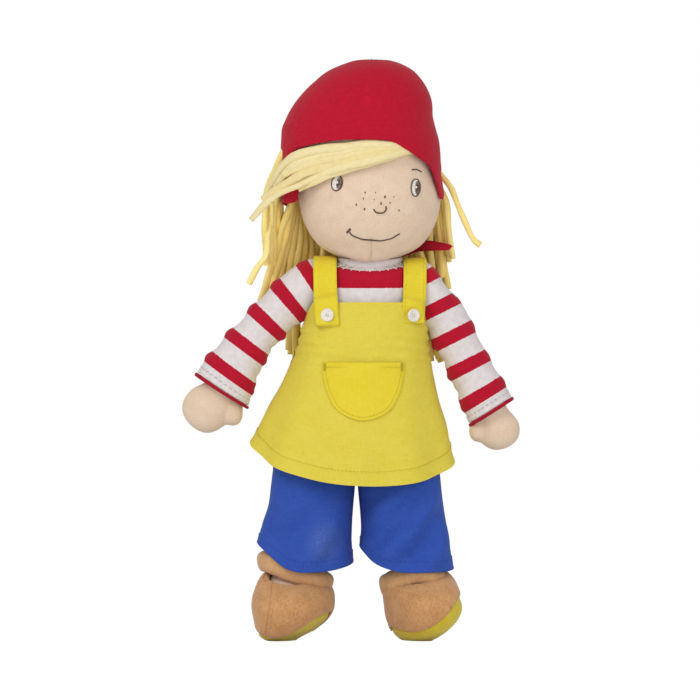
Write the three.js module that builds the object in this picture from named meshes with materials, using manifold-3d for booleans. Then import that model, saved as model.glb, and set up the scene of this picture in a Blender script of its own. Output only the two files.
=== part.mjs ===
// A soft rag doll: stuffed velour body, jersey hair, headscarf, striped shirt, pinafore dress,
// wide trousers and velour shoes. Millimetres, +Z up, the face looks along -Y.
// The doll's right side is at -X. Shapes are built about the middle of the chest and the whole
// doll is centred on its own footprint at the end.

import * as THREE from 'three';
import { mergeVertices } from 'three/addons/utils/BufferGeometryUtils.js';
import Module from 'manifold-3d';

const wasm = await Module();
wasm.setup();

// Driving dimensions: body
const legLength = 121; // floor to hip pivot
const hipToShoulder = 111.5;
const shoulderToNeck = 7.5; // up to the nodding pivot of the neck
const shoulderHalfSpan = 38;
const hipHalfSpan = 25;
const hipShift = -9; // the hips stand to the doll's right of the chest
const chestHalfWidth = 36;
const chestHalfDepth = 26;
const torsoRise = 5.5; // top of the torso above the nodding pivot
const shoulderRise = 13.3; // shirt neckline above the shoulder pivots
const shoulderCrest = 5.5; // the shirt rides up beside the neck
const torsoShoulderHalf = 25; // the stuffed torso is slim between the arms
const neckBallRadius = 12;
const neckStubRadius = 10;
const neckStubLength = 23;

// Driving dimensions: head and face
const headHeight = 130.5;
const headHalfWidth = 47;
const headHalfDepth = 42;
const headForward = 3;
const chinRise = 7; // underside of the head above the nodding pivot
const eyeWidth = 7.5;
const eyeHeight = 10.5;
const eyeRise = 50; // middle of the eyes above the underside of the head
const eyeDrop = 1.3; // half the height difference of the tilted eyes
const eyeSpread = 25.3; // half the distance between the eyes
const faceShift = 4; // the face looks a little to the doll's left
const noseRise = 34;
const noseWidth = 8.5;
const noseSag = 4;
const mouthRise = 18;
const mouthWidth = 33;
const mouthSag = 3.4;
const browRise = 61;
const browWidth = 8;
const threadRadius = 0.6;
const padThickness = 0.7;

// Driving dimensions: limbs
const shoulderBallRadius = 15;
const armLength = 95; // shoulder pivot to cuff
const armRadius = 12;
const wristRadius = 10.5;
const rightHandLength = 30;
const leftHandLength = 26;
const handHalfWidth = 13.2;
const handHalfDepth = 9;
const thumbLength = 21;
const thumbRadius = 5.4;
const hipBallRadius = 16.5;
const legRadius = 15.5;
const ankleRadius = 15;
const ankleHeight = 43;
const ankleSpread = 15; // how far each ankle stands outside its hip
const footCoreLength = 44;
const footCoreWidth = 33;
const footCoreFloor = 12;

// Driving dimensions: clothes
const fit = 0.4; // clearance between two pieces that touch
const jersey = 1.1;
const cotton = 1.2;
const sleeveShoulderRadius = 17;
const sleeveMidRadius = 14.6;
const rightCuffHalfWidth = 20.5;
const leftCuffHalfWidth = 17;
const cuffHalfDepth = 14.5;
const cuffEdge = 2.4;
const neckbandHeight = 4;
const neckbandThickness = 2;
const shirtHemRise = 27; // above the hip pivots
const armholeReach = 0.45; // share of the arm that the clothes make room for
const bibTopDrop = 11.5; // below the shoulder pivots
const bibHalfWidth = 38;
const bibHalfDepth = 29.5;
const dressLength = 119; // bib top to the middle of the front hem
const hemHalfWidth = 65;
const hemHalfDepth = 43;
const hemShift = -2.2;
const hemTilt = 5.5; // the hem hangs this much lower at the left side than halfway, and higher at the right
const hemSideRise = 0.2; // share of the length that the hem gains at the side seams
const foldDepth = 1.5;
const strapWidth = 15;
const strapMiddle = 27.4;
const strapBow = 2; // the straps run a little outwards round the neckband
const strapThickness = 1.3;
const strapCentreDrop = 9; // middle of the strap's sweep, below the bib top
const strapWrapRadius = 26; // from that middle to the strap on the bib
const strapBackDraw = 5; // the straps draw together on the back panel
const strapOverlap = 17; // how far a strap runs down over the bib
const buttonDiameter = 8.8;
const buttonThickness = 2;
const buttonHole = 1.3;
const buttonHoleSpacing = 2.2;
const buttonInset = 8.5; // from the end of the strap
const pocketHalfWidth = 27.5;
const pocketHeight = 38;
const pocketDrop = 39; // below the bib top
const trouserRise = 44; // waist above the hip pivots
const trouserHipHalf = 52.5;
const trouserSeatDepth = 32;
const trouserSpread = 28.5; // middle of a trouser leg from the middle of the hips
const trouserSplay = 4.5;
const trouserJoinDrop = 9; // seam between seat and legs, below the hip pivots
const trouserTopHalf = 27;
const trouserTopDepth = 28.5;
const trouserHemHalf = 30;
const trouserHemDepth = 28.5;
const trouserHemHeight = 50;
const trouserHemDip = 5;
const rightTrouserOuterRise = 9;
const rightTrouserInnerRise = 3;
const leftTrouserOuterRise = 8;
const leftTrouserInnerRise = 12;
const waistbandHeight = 12;
const waistbandThickness = 2.4;

// Driving dimensions: headscarf and hair
const scarfStandFront = 5.8;
const scarfStandBack = 6.6;
const scarfStandLeft = 5.8;
const scarfStandRight = 11.5; // hair is gathered under this side
const scarfTopStand = 4.4;
const scarfEdgeRise = 49; // edge above the underside of the head, at the ears
const scarfBackSlope = 0.78;
const scarfSideSlope = 0.12;
const knotHalfWidth = 9;
const knotHalfHeight = 7;
const knotEnd = 0.76; // the knot is cut off at this share of its half width
const tailLength = 37;
const tailRootWidth = 3;
const tailWidth = 11;
const lockWidth = 6.4;
const lockThickness = 2.4;
const hairDepth = 1.8; // from the head to the middle of a lock

// Driving dimensions: shoes
const shoeHeight = 41;
const shoeHalfWidth = 25;
const shoeHeel = 27;
const shoeHeelTaper = 0.2; // share of the width that goes towards the back of the heel
const shoeToe = 42;
const rightSoleHeight = 4.6;
const leftSoleHeight = 7.2;
const soleTilt = 0.38; // the sole's seam rises towards the doll's left
const soleFlat = 0.5; // the soft sole is cut flat on the floor
const rightToeOut = 12;
const leftToeOut = 22;
const shoeStrapRadius = 4.8;
const shoeStrapTilt = 0.16;
const throatRadius = 18;

// Colours
const skinColour = 0xe6cbb0;
const hairColour = 0xeadc94;
const redColour = 0xc0182f;
const whiteColour = 0xe6dedd;
const yellowColour = 0xddd04e;
const blueColour = 0x3a57ac;
const shoeColour = 0xcb9a66;
const soleColour = 0xddc83e;
const threadColour = 0x5a4636;

// Places that follow from the sizes
const hipZ = legLength;
const shoulderZ = hipZ + hipToShoulder;
const nodZ = shoulderZ + shoulderToNeck;
const necklineZ = shoulderZ + shoulderRise;
const headFloor = nodZ + chinRise;
const bodySpan = necklineZ - hipZ;
const upAxis = new THREE.Vector3(0, 0, 1);
const depthAxis = new THREE.Vector3(0, 1, 0);
const sideAxis = new THREE.Vector3(1, 0, 0);
const rad = THREE.MathUtils.degToRad;

const at = (x, y, z) => new THREE.Vector3(x, y, z);
const lerp = THREE.MathUtils.lerp;
const clamp = THREE.MathUtils.clamp;

// A value read off a list of [position, value, ...] rows, smooth between the rows.
function along(rows, position, column = 1) {
  const last = rows.length - 1;
  if (position <= rows[0][0]) return rows[0][column];
  if (position >= rows[last][0]) return rows[last][column];
  const next = rows.findIndex((row) => row[0] > position);
  const [low, high] = [rows[next - 1], rows[next]];
  const share = (position - low[0]) / (high[0] - low[0]);
  const before = rows[Math.max(next - 2, 0)];
  const after = rows[Math.min(next + 1, last)];
  const slopeLow = (high[column] - before[column]) / (high[0] - before[0]);
  const slopeHigh = (after[column] - low[column]) / (after[0] - low[0]);
  const span = high[0] - low[0];
  const s2 = share * share;
  const s3 = s2 * share;
  return (2 * s3 - 3 * s2 + 1) * low[column] + (s3 - 2 * s2 + share) * span * slopeLow
    + (3 * s2 - 2 * s3) * high[column] + (s3 - s2) * span * slopeHigh;
}

// Turns lists of corners and triangles into a closed geometry whose faces point out.
function closed(points, faces) {
  let volume = 0;
  for (const [a, b, c] of faces) volume += points[a].dot(points[b].clone().cross(points[c]));
  const index = faces.flatMap(([a, b, c]) => (volume > 0 ? [a, b, c] : [a, c, b]));
  const geometry = new THREE.BufferGeometry();
  const places = points.flatMap((point) => point.toArray());
  geometry.setAttribute('position', new THREE.Float32BufferAttribute(places, 3));
  geometry.setIndex(index);
  geometry.computeVertexNormals();
  return geometry;
}

// Skins rings of equally many points. A wrapped loft joins its last ring to its first,
// and any other is closed at each end by a fan.
function loft(rings, wrapped = false) {
  const sides = rings[0].length;
  const points = rings.flat();
  const faces = [];
  const bands = wrapped ? rings.length : rings.length - 1;
  for (let i = 0; i < bands; i += 1) {
    const low = i * sides;
    const high = ((i + 1) % rings.length) * sides;
    for (let k = 0; k < sides; k += 1) {
      const next = (k + 1) % sides;
      faces.push([low + k, low + next, high + next], [low + k, high + next, high + k]);
    }
  }
  if (!wrapped) {
    const middle = (ring) => ring.reduce((sum, p) => sum.add(p), at(0, 0, 0)).divideScalar(sides);
    const start = points.push(middle(rings[0])) - 1;
    const end = points.push(middle(rings[rings.length - 1])) - 1;
    const top = (rings.length - 1) * sides;
    for (let k = 0; k < sides; k += 1) {
      const next = (k + 1) % sides;
      faces.push([start, next, k], [end, top + k, top + next]);
    }
  }
  return closed(points, faces);
}

// A level ring: half width, depth to the front and to the back, squareness, tilt to the front
// and the height that its two sides gain.
function levelRing({ x = 0, y = 0, z, wide, front, back = front, power = 2, tilt = 0, crest = 0 }, sides) {
  return Array.from({ length: sides }, (_, k) => {
    const angle = (2 * Math.PI * (k + 0.5)) / sides;
    const c = Math.cos(angle);
    const s = Math.sin(angle);
    const across = Math.sign(c) * Math.abs(c) ** (2 / power) * wide;
    const deep = Math.sign(s) * Math.abs(s) ** (2 / power) * (s < 0 ? front : back);
    return at(x + across, y + deep, z + tilt * deep + crest * c * c);
  });
}

// A ring square to a direction: `wide` lies sideways and `deep` lies front to back.
function squareRing(centre, direction, wide, deep, sides) {
  const across = depthAxis.clone().cross(direction).normalize();
  const through = direction.clone().cross(across).normalize();
  return Array.from({ length: sides }, (_, k) => {
    const angle = (2 * Math.PI * (k + 0.5)) / sides;
    return centre.clone().addScaledVector(across, Math.cos(angle) * wide)
      .addScaledVector(through, Math.sin(angle) * deep);
  });
}

// A sheet of even thickness over a surface; place(u, v) runs over 0 to 1 both ways and
// the thickness grows away from the point that inside(u, v) gives.
function sheet(columns, rows, place, thickness, inside) {
  const grid = [];
  for (let j = 0; j <= rows; j += 1) {
    for (let i = 0; i <= columns; i += 1) grid.push(place(i / columns, j / rows));
  }
  const cell = (i, j) => j * (columns + 1) + i;
  const step = (i, j) => grid[cell(clamp(i, 0, columns), clamp(j, 0, rows))];
  const outer = [];
  for (let j = 0; j <= rows; j += 1) {
    for (let i = 0; i <= columns; i += 1) {
      const normal = step(i + 1, j).clone().sub(step(i - 1, j))
        .cross(step(i, j + 1).clone().sub(step(i, j - 1))).normalize();
      const outward = grid[cell(i, j)].clone().sub(inside(i / columns, j / rows));
      if (normal.dot(outward) < 0) normal.negate();
      outer.push(grid[cell(i, j)].clone().addScaledVector(normal, thickness));
    }
  }
  const count = grid.length;
  const faces = [];
  for (let j = 0; j < rows; j += 1) {
    for (let i = 0; i < columns; i += 1) {
      const [a, b, c, d] = [cell(i, j), cell(i + 1, j), cell(i + 1, j + 1), cell(i, j + 1)];
      faces.push([a, b, c], [a, c, d]);
      faces.push([count + a, count + c, count + b], [count + a, count + d, count + c]);
    }
  }
  const rim = [];
  for (let i = 0; i < columns; i += 1) rim.push(cell(i, 0));
  for (let j = 0; j < rows; j += 1) rim.push(cell(columns, j));
  for (let i = columns; i > 0; i -= 1) rim.push(cell(i, rows));
  for (let j = rows; j > 0; j -= 1) rim.push(cell(0, j));
  rim.forEach((here, k) => {
    const next = rim[(k + 1) % rim.length];
    faces.push([here, count + here, count + next], [here, count + next, next]);
  });
  return closed([...grid, ...outer], faces);
}

// A strip or cord swept along points with its flat side away from the head's upright axis.
// It narrows to `endShare` at its tip.
function strand(points, wide, deep, sides, steps, endShare = 1) {
  const curve = new THREE.CatmullRomCurve3(points, false, 'centripetal');
  const spread = sides === 4 ? Math.SQRT2 : 1;
  const rings = [];
  for (let i = 0; i <= steps; i += 1) {
    const share = i / steps;
    const size = lerp(1, endShare, share) * spread;
    const centre = curve.getPointAt(share);
    const tangent = curve.getTangentAt(share);
    const away = at(centre.x, centre.y + headForward, 0).normalize();
    const across = tangent.clone().cross(away).normalize();
    const facing = across.clone().cross(tangent).normalize();
    rings.push(Array.from({ length: sides }, (_, k) => {
      const angle = (2 * Math.PI * (k + 0.5)) / sides;
      return centre.clone().addScaledVector(across, Math.cos(angle) * wide * size)
        .addScaledVector(facing, Math.sin(angle) * deep * size);
    }));
  }
  return loft(rings);
}

// Boolean cuts and joins of closed geometries.
function toSolid(geometry) {
  const bare = geometry.clone();
  for (const name of Object.keys(bare.attributes)) if (name !== 'position') bare.deleteAttribute(name);
  const merged = mergeVertices(bare, 1e-4);
  const vertProperties = Float32Array.from(merged.attributes.position.array);
  const triVerts = Uint32Array.from(merged.index.array);
  return new wasm.Manifold(new wasm.Mesh({ numProp: 3, vertProperties, triVerts }));
}

function toGeometry(solid) {
  const { vertProperties, triVerts } = solid.getMesh();
  const geometry = new THREE.BufferGeometry();
  geometry.setAttribute('position', new THREE.Float32BufferAttribute(vertProperties, 3));
  geometry.setIndex(Array.from(triVerts));
  geometry.computeVertexNormals();
  return geometry;
}

function cut(geometry, ...cutters) {
  return toGeometry(cutters.reduce((left, cutter) => left.subtract(toSolid(cutter)), toSolid(geometry)));
}

function join(...pieces) {
  const [first, ...others] = pieces.map((piece) => toSolid(piece));
  return toGeometry(others.reduce((whole, piece) => whole.add(piece), first));
}

// Keeps the largest connected body of a cut shape.
function largest(geometry) {
  const bodies = toSolid(geometry).decompose();
  return toGeometry(bodies.reduce((best, body) => (body.volume() > best.volume() ? body : best)));
}

const doll = new THREE.Group();

function add(name, geometry, color, roughness = 0.9) {
  const mesh = new THREE.Mesh(geometry, new THREE.MeshStandardMaterial({ color, roughness, metalness: 0 }));
  mesh.name = name;
  doll.add(mesh);
  return mesh;
}

// Where a ray first meets the pieces, with the outward normal there.
function meet(pieces, origin, direction) {
  for (const piece of pieces) piece.updateMatrixWorld(true);
  const ray = new THREE.Raycaster(origin, direction.clone().normalize());
  const [hit] = ray.intersectObjects(pieces, false);
  return hit ? { point: hit.point, normal: hit.face.normal.clone() } : null;
}

// A ball whose facets stay outside its radius, so that it clears a round piece.
function ball(centre, radius, detail = 14) {
  const outer = radius / Math.cos(Math.PI / detail);
  return new THREE.SphereGeometry(outer, detail, detail / 2 + 1).translate(centre.x, centre.y, centre.z);
}

// A round bar from a point along a direction.
function bar(start, direction, radius, length, sides = 12) {
  const outer = radius / Math.cos(Math.PI / sides);
  const geometry = new THREE.CylinderGeometry(outer, outer, length, sides).translate(0, length / 2, 0);
  const turn = new THREE.Quaternion().setFromUnitVectors(depthAxis, direction.clone().normalize());
  geometry.applyQuaternion(turn);
  return geometry.translate(start.x, start.y, start.z);
}

const armPivots = { right: at(-shoulderHalfSpan, 0, shoulderZ), left: at(shoulderHalfSpan, 0, shoulderZ) };
const legPivots = { right: at(hipShift - hipHalfSpan, 0, hipZ), left: at(hipShift + hipHalfSpan, 0, hipZ) };
const outward = { right: -1, left: 1 };

// Torso and shirt share one set of sections. Rows: share of the height from hips to neckline,
// width, depth, tilt of the section towards the front, and share of the shoulder's crest.
const bodyRows = [
  [-0.03, 1.0, 0.98, 0, 0],
  [0.05, 1.13, 1.06, 0, 0],
  [0.2, 1.17, 1.05, 0, 0],
  [0.42, 1.09, 1.05, 0, 0],
  [0.57, 1.0, 1.05, 0, 0],
  [0.68, 0.92, 1.05, 0, 0],
  [0.77, 0.93, 1.02, 0.01, 0],
  [0.86, 0.98, 0.97, 0.04, 0],
  [0.92, 0.98, 0.93, 0.08, 0.1],
  [0.96, 0.92, 0.88, 0.08, 0.75],
  [0.985, 0.74, 0.79, 0.08, 0.9],
  [1.0, 0.57, 0.7, 0.08, 0.1],
];

function bodyStation(share, inset) {
  return {
    x: hipShift * (1 - share),
    z: hipZ + share * bodySpan - (share > 0.9 ? inset * (share - 0.9) * 10 : 0),
    wide: chestHalfWidth * along(bodyRows, share, 1) - inset,
    front: chestHalfDepth * along(bodyRows, share, 2) - inset,
    power: 2.2,
    tilt: along(bodyRows, share, 3),
    crest: shoulderCrest * along(bodyRows, share, 4),
  };
}

function torso() {
  const sides = 16;
  const inset = jersey + fit * 2;
  const topShare = (nodZ + torsoRise - hipZ) / bodySpan;
  const slim = { 0.55: 0.35, 0.62: 0.85, 0.7: 1, 0.8: 1, 0.88: 1 };
  const rings = [0.0, 0.05, 0.13, 0.25, 0.42, 0.55, 0.62, 0.7, 0.8, 0.88].map((share) => {
    const station = bodyStation(share, inset);
    const wide = lerp(station.wide, Math.min(station.wide, torsoShoulderHalf), slim[share] ?? 0);
    return levelRing({ ...station, wide, crest: 0 }, sides);
  });
  const shoulderRing = { ...bodyStation(0.88, inset), wide: torsoShoulderHalf, crest: 0 };
  for (const [rise, size] of [[0.45, 0.9], [0.8, 0.66], [1, 0.36]]) {
    const z = lerp(shoulderRing.z, hipZ + topShare * bodySpan, rise);
    const wide = shoulderRing.wide * size;
    const front = shoulderRing.front * size;
    rings.push(levelRing({ ...shoulderRing, z, tilt: 0, wide, front }, sides));
  }
  const cutters = [ball(at(0, 0, nodZ), neckBallRadius + fit)];
  for (const side of ['right', 'left']) {
    cutters.push(ball(armPivots[side], sleeveShoulderRadius + fit, 12));
    cutters.push(ball(legPivots[side], hipBallRadius + fit, 12));
    const legDown = at(outward[side] * ankleSpread, 0, ankleHeight - hipZ).normalize();
    for (const swing of [-20, 90]) {
      const direction = legDown.clone().applyAxisAngle(sideAxis, rad(-swing));
      cutters.push(bar(legPivots[side], direction, hipBallRadius + fit, 70, 10));
    }
  }
  return largest(cut(loft(rings), ...cutters));
}

// What the sleeves take out of the clothes at rest.
function armholes() {
  return ['right', 'left'].flatMap((side) => {
    const down = armDirection(side, 0);
    return [
      ball(armPivots[side], sleeveShoulderRadius + fit),
      bar(armPivots[side], down, sleeveShoulderRadius + fit, armLength * armholeReach),
    ];
  });
}

function shirtBody() {
  const sides = 18;
  const low = shirtHemRise / bodySpan;
  const shares = [low, 0.44, 0.6, 0.72, 0.82, 0.9, 0.945, 0.98, 1.0];
  const outer = shares.map((share) => levelRing(bodyStation(share, 0), sides));
  const inner = shares.map((share) => levelRing(bodyStation(share, jersey), sides));
  return largest(cut(loft([...outer, ...inner.reverse()], true), ...armholes()));
}

function neckband() {
  const edge = bodyStation(1, 0);
  const sides = 18;
  const grow = (size, rise) => levelRing({
    ...edge, z: edge.z + fit + rise, wide: edge.wide + size, front: edge.front + size,
  }, sides);
  const shoulder = neckbandHeight * 0.8;
  return loft([
    grow(0, 0), grow(0, shoulder), grow(-neckbandThickness / 2, neckbandHeight),
    grow(-neckbandThickness, shoulder), grow(-neckbandThickness, 0),
  ], true);
}

// Head sections. Rows: share of the height, radius, and sideways shift of the middle.
const headRows = [
  [0.0, 0.0, 0],
  [0.012, 0.27, 0],
  [0.04, 0.49, 0],
  [0.085, 0.7, 0],
  [0.14, 0.83, 0],
  [0.2, 0.915, 0],
  [0.265, 0.965, 0],
  [0.335, 0.99, -0.005],
  [0.41, 0.965, -0.035],
  [0.5, 0.945, -0.065],
  [0.61, 0.93, -0.08],
  [0.69, 0.9, -0.08],
  [0.77, 0.85, -0.075],
  [0.84, 0.765, -0.06],
  [0.9, 0.635, -0.04],
  [0.95, 0.45, -0.01],
  [0.985, 0.22, 0.02],
  [1.0, 0.0, 0.02],
];

function headStation(share) {
  const size = along(headRows, share, 1);
  return {
    x: headHalfWidth * along(headRows, share, 2),
    y: -headForward,
    z: headFloor + share * headHeight,
    wide: headHalfWidth * size,
    front: headHalfDepth * size,
    power: 2.15,
  };
}

// A point beside the head: angle from +X towards +Y, height share and distance from the skin.
function besideHead(angle, share, off) {
  const station = headStation(share);
  const c = Math.cos(rad(angle));
  const s = Math.sin(rad(angle));
  const squared = (value) => Math.sign(value) * Math.abs(value) ** (2 / station.power);
  return at(
    station.x + squared(c) * station.wide + c * off,
    station.y + squared(s) * station.front + s * off,
    station.z,
  );
}

function head() {
  const sides = 18;
  const rings = headRows.slice(1, -1).map(([share]) => levelRing(headStation(share), sides));
  const socket = bar(at(0, 0, headFloor - chinRise), upAxis, neckStubRadius + fit, neckStubLength + fit);
  return cut(loft(rings), socket);
}

function neck() {
  const round = new THREE.SphereGeometry(neckBallRadius, 12, 8).translate(0, 0, nodZ);
  return join(round, bar(at(0, 0, nodZ), upAxis, neckStubRadius, neckStubLength));
}

// The scarf follows the head at a stand-off that differs round the head.
function scarfRing(share, inset, sides) {
  const station = headStation(share);
  const bulge = clamp((0.97 - share) / 0.3, 0.25, 1);
  const rise = scarfTopStand * share ** 3 - (share > 0.9 ? inset * (share - 0.9) * 10 : 0);
  return levelRing({ ...station, z: station.z + rise }, sides).map((point, k) => {
    const angle = (2 * Math.PI * (k + 0.5)) / sides;
    const c = Math.cos(angle);
    const s = Math.sin(angle);
    const sideways = c > 0 ? scarfStandLeft : scarfStandRight * bulge;
    const deep = s > 0 ? scarfStandBack : scarfStandFront;
    point.x += c * (sideways - inset);
    point.y += s * (deep - inset);
    return point;
  });
}

const scarfEdgeHeight = (x, y) => headFloor + scarfEdgeRise - scarfBackSlope * y - scarfSideSlope * x;

function scarfCrown() {
  const sides = 18;
  const shares = [0.07, 0.14, 0.2, 0.3, 0.41, 0.54, 0.66, 0.77, 0.85, 0.91, 0.955, 0.985];
  const outer = shares.map((share) => scarfRing(share, 0, sides));
  const inner = shares.map((share) => scarfRing(share, jersey, sides));
  const shell = loft([...outer.reverse(), ...inner]);
  const reach = headHeight * 2;
  const under = new THREE.BoxGeometry(reach, reach, reach).translate(0, 0, -reach / 2);
  const normal = at(scarfSideSlope, scarfBackSlope, 1).normalize();
  under.applyQuaternion(new THREE.Quaternion().setFromUnitVectors(upAxis, normal));
  under.translate(0, 0, scarfEdgeHeight(0, 0));
  return largest(cut(shell, under));
}

// The knot lies in the nape under the rear edge of the scarf, and its two tails leave it.
function knotCentre() {
  const rear = besideHead(90, 0.14, 0).y + scarfStandBack;
  return at(0, rear - jersey / 2, scarfEdgeHeight(0, rear) - knotHalfHeight * 0.95 - fit * 0.75);
}

function scarfKnot() {
  const centre = knotCentre();
  const rings = [-knotEnd, -0.4, 0, 0.4, knotEnd].map((share) => {
    const size = Math.sqrt(1 - share ** 2);
    const middle = centre.clone().add(at(share * knotHalfWidth, 0, 0));
    return squareRing(middle, sideAxis, knotHalfHeight * size, knotHalfHeight * 0.8 * size, 10);
  });
  return loft(rings);
}

function scarfTail(side) {
  const centre = knotCentre();
  const s = outward[side];
  const rootHalf = side === 'left' ? 0 : tailRootWidth / 2;
  const root = centre.clone().add(at(s * (knotHalfWidth * knotEnd + fit * 0.75 + rootHalf), 0, -1));
  const path = side === 'left'
    ? new THREE.CatmullRomCurve3([root, at(13, 30, 252), at(31, 16, 258), at(42, 3, 258), at(52, -7, 257)])
    : new THREE.CatmullRomCurve3([root, root.clone().add(at(-2.5, 2, -8)), root.clone().add(at(-1, 3, -22)),
      root.clone().add(at(0.5, 2, -tailLength))]);
  const place = (u, v) => {
    const swell = Math.sin(Math.PI * Math.min(v * 0.75, 0.5));
    const width = lerp(tailRootWidth, tailWidth, swell) * (1 - 0.75 * v ** 3);
    const across = side === 'left' ? at(0.25, 0, 1).normalize() : at(1, 0.1, 0).normalize();
    return path.getPoint(v).addScaledVector(across, (u - 0.5) * width);
  };
  return sheet(3, 8, place, cotton, (u, v) => path.getPoint(v).add(at(0, -20, 0)));
}

// Hair is sewn to the head in wefts: a weft is a band on the skin with flat jersey locks.
function weft(angles, locks, lift = 0) {
  const band = angles.map((angle) => besideHead(angle, rootShare(angle), hairDepth + lift));
  const pieces = [strand(band, lockWidth * 0.32, lockThickness * 0.4, 4, angles.length)];
  for (const lock of locks) pieces.push(strand(lock, lockWidth / 2, lockThickness / 2, 4, 7, 0.62));
  return join(...pieces);
}

// The height share of the scarf's edge round the head, less a margin that hides the band.
function rootShare(angle) {
  const point = besideHead(angle, 0.35, scarfStandBack);
  const hidden = scarfEdgeHeight(point.x, point.y) - headFloor + 3;
  return clamp(hidden / headHeight, 0.178, 0.66);
}

function hangingLock(angle, way) {
  const share = rootShare(angle);
  const points = [besideHead(angle, share, hairDepth), besideHead(angle, share - 0.075, hairDepth + 0.2)];
  for (const [x, y, z] of way) points.push(at(x, y, z));
  return points;
}

// The locks' ways down, measured from the middle of the chest and the floor.
function rightHair() {
  const locks = [
    hangingLock(197, [[-59, -16, 297], [-67, -15, 276], [-78, -13, 252], [-84, -12, 239]]),
    hangingLock(190, [[-57, -9, 292], [-63, -7, 268], [-71, -5, 246], [-74, -4, 233]]),
    hangingLock(183, [[-55, -1, 286], [-60, 2, 262], [-66, 5, 242], [-68, 8, 231]]),
    hangingLock(174, [[-53, 8, 280], [-56, 14, 256], [-60, 21, 232], [-62, 26, 208]]),
    hangingLock(165, [[-50, 16, 276], [-52, 22, 250], [-54, 27, 222], [-55, 29, 190]]),
    hangingLock(155, [[-46, 24, 272], [-46, 29, 246], [-46, 32, 216], [-46, 33, 186]]),
  ];
  return weft([150, 160, 170, 180, 190, 200], locks);
}

function leftHair() {
  const locks = [
    hangingLock(-10, [[51, -8, 278], [58, -9, 268], [66, -8, 261], [73, -7, 258]]),
    hangingLock(0, [[50, 2, 272], [53, 6, 258], [57, 8, 250]]),
    hangingLock(10, [[49, 10, 266], [51, 16, 252], [54, 22, 238], [55, 26, 220]]),
    hangingLock(20, [[47, 20, 262], [47, 26, 244], [47, 30, 222], [46, 32, 194]]),
    hangingLock(30, [[43, 28, 256], [41, 32, 238], [40, 34, 214], [39, 34, 184]]),
  ];
  return weft([-14, -4, 6, 16, 26, 34], locks);
}

function backHair() {
  const ends = [
    [142, -35, 188], [127, -27, 182], [113, -19.5, 186], [62, 22, 184], [50, 29, 187], [40, 36, 183],
  ];
  const locks = ends.map(([angle, x, low]) => {
    const root = besideHead(angle, rootShare(angle), hairDepth);
    const nape = besideHead(angle, rootShare(angle) - 0.06, hairDepth + 0.4);
    return [root, nape, at(x, 41, 245), at(x, 42, 232), at(x * 1.03, 39, 208), at(x * 1.05, 38, low)];
  });
  return weft([146, 132, 118, 104, 90, 76, 62, 50, 38], locks, 0.8);
}

// The fringe sweeps from the doll's left temple across the forehead to its right cheek.
function fringe() {
  const locks = [];
  const count = 3;
  for (let i = 0; i < count; i += 1) {
    const share = i / (count - 1);
    const from = besideHead(lerp(-62, -57, share), lerp(0.6, 0.575, share), hairDepth + 0.3);
    const across = besideHead(lerp(-92, -88, share), lerp(0.6, 0.545, share), hairDepth + 0.9);
    const brow = besideHead(lerp(-125, -120, share), lerp(0.565, 0.49, share), hairDepth + 0.7);
    const temple = besideHead(lerp(-152, -148, share), lerp(0.49, 0.415, share), hairDepth + 1.2);
    const free = at(lerp(-63, -58, share), lerp(-27, -22, share), lerp(285, 290, share));
    const tip = at(lerp(-77, -69, share), lerp(-26, -20, share), lerp(276, 287, share));
    locks.push([from, across, brow, temple, free, tip]);
  }
  const root = [-70, -64, -58, -52].map((angle, k) => (
    besideHead(angle, lerp(0.61, 0.57, k / 3), hairDepth)));
  const pieces = [strand(root, lockWidth * 0.5, lockThickness * 0.4, 4, 4)];
  for (const lock of locks) pieces.push(strand(lock, lockWidth * 0.5, lockThickness / 2, 4, 10, 0.75));
  return join(...pieces);
}

// Face: padded satin stitch for the eyes and thread lines, all laid on the skin of the head.
function onFace(skin, x, z, off) {
  const { point, normal } = meet([skin], at(x, -headHalfDepth * 3, z), depthAxis);
  return point.addScaledVector(normal, off);
}

function eye(skin, side) {
  const x = faceShift + outward[side] * eyeSpread;
  const z = headFloor + eyeRise - outward[side] * eyeDrop;
  const sides = 14;
  const ringAt = (size, off) => Array.from({ length: sides }, (_, k) => {
    const angle = (2 * Math.PI * k) / sides;
    const across = Math.cos(angle) * size * (eyeWidth / 2);
    const up = Math.sin(angle) * size * (eyeHeight / 2);
    return onFace(skin, x + across, z + up, off);
  });
  const rim = fit + padThickness * 0.7;
  return loft([ringAt(0.5, fit), ringAt(1, fit), ringAt(1, rim), ringAt(0.5, fit + padThickness)]);
}

// A thread line on the face through offsets from a middle point; sag is positive downwards.
function faceLine(skin, x, z, width, sag, steps) {
  const points = Array.from({ length: steps + 1 }, (_, k) => {
    const across = k / steps - 0.5;
    return onFace(skin, x + across * width, z - sag * (1 - (2 * across) ** 2), fit + threadRadius);
  });
  return strand(points, threadRadius, threadRadius, 6, steps * 2);
}

// Arms: the middle line bends evenly from the upper angle to the lower one.
const armShape = {
  right: { upper: 57, lower: 23, cuff: rightCuffHalfWidth, hand: 44, palm: rightHandLength },
  left: { upper: 27, lower: 26, cuff: leftCuffHalfWidth, hand: 22, palm: leftHandLength },
};

function armLine(side, share) {
  const { upper, lower } = armShape[side];
  const point = armPivots[side].clone();
  const steps = 24;
  for (let i = 0; i < steps; i += 1) {
    const angle = rad(lerp(upper, lower, (share * (i + 0.5)) / steps));
    const stride = (armLength * share) / steps;
    point.add(at(outward[side] * Math.sin(angle) * stride, 0, -Math.cos(angle) * stride));
  }
  return point;
}

function armDirection(side, share) {
  const angle = rad(lerp(armShape[side].upper, armShape[side].lower, share));
  return at(outward[side] * Math.sin(angle), 0, -Math.cos(angle));
}

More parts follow.
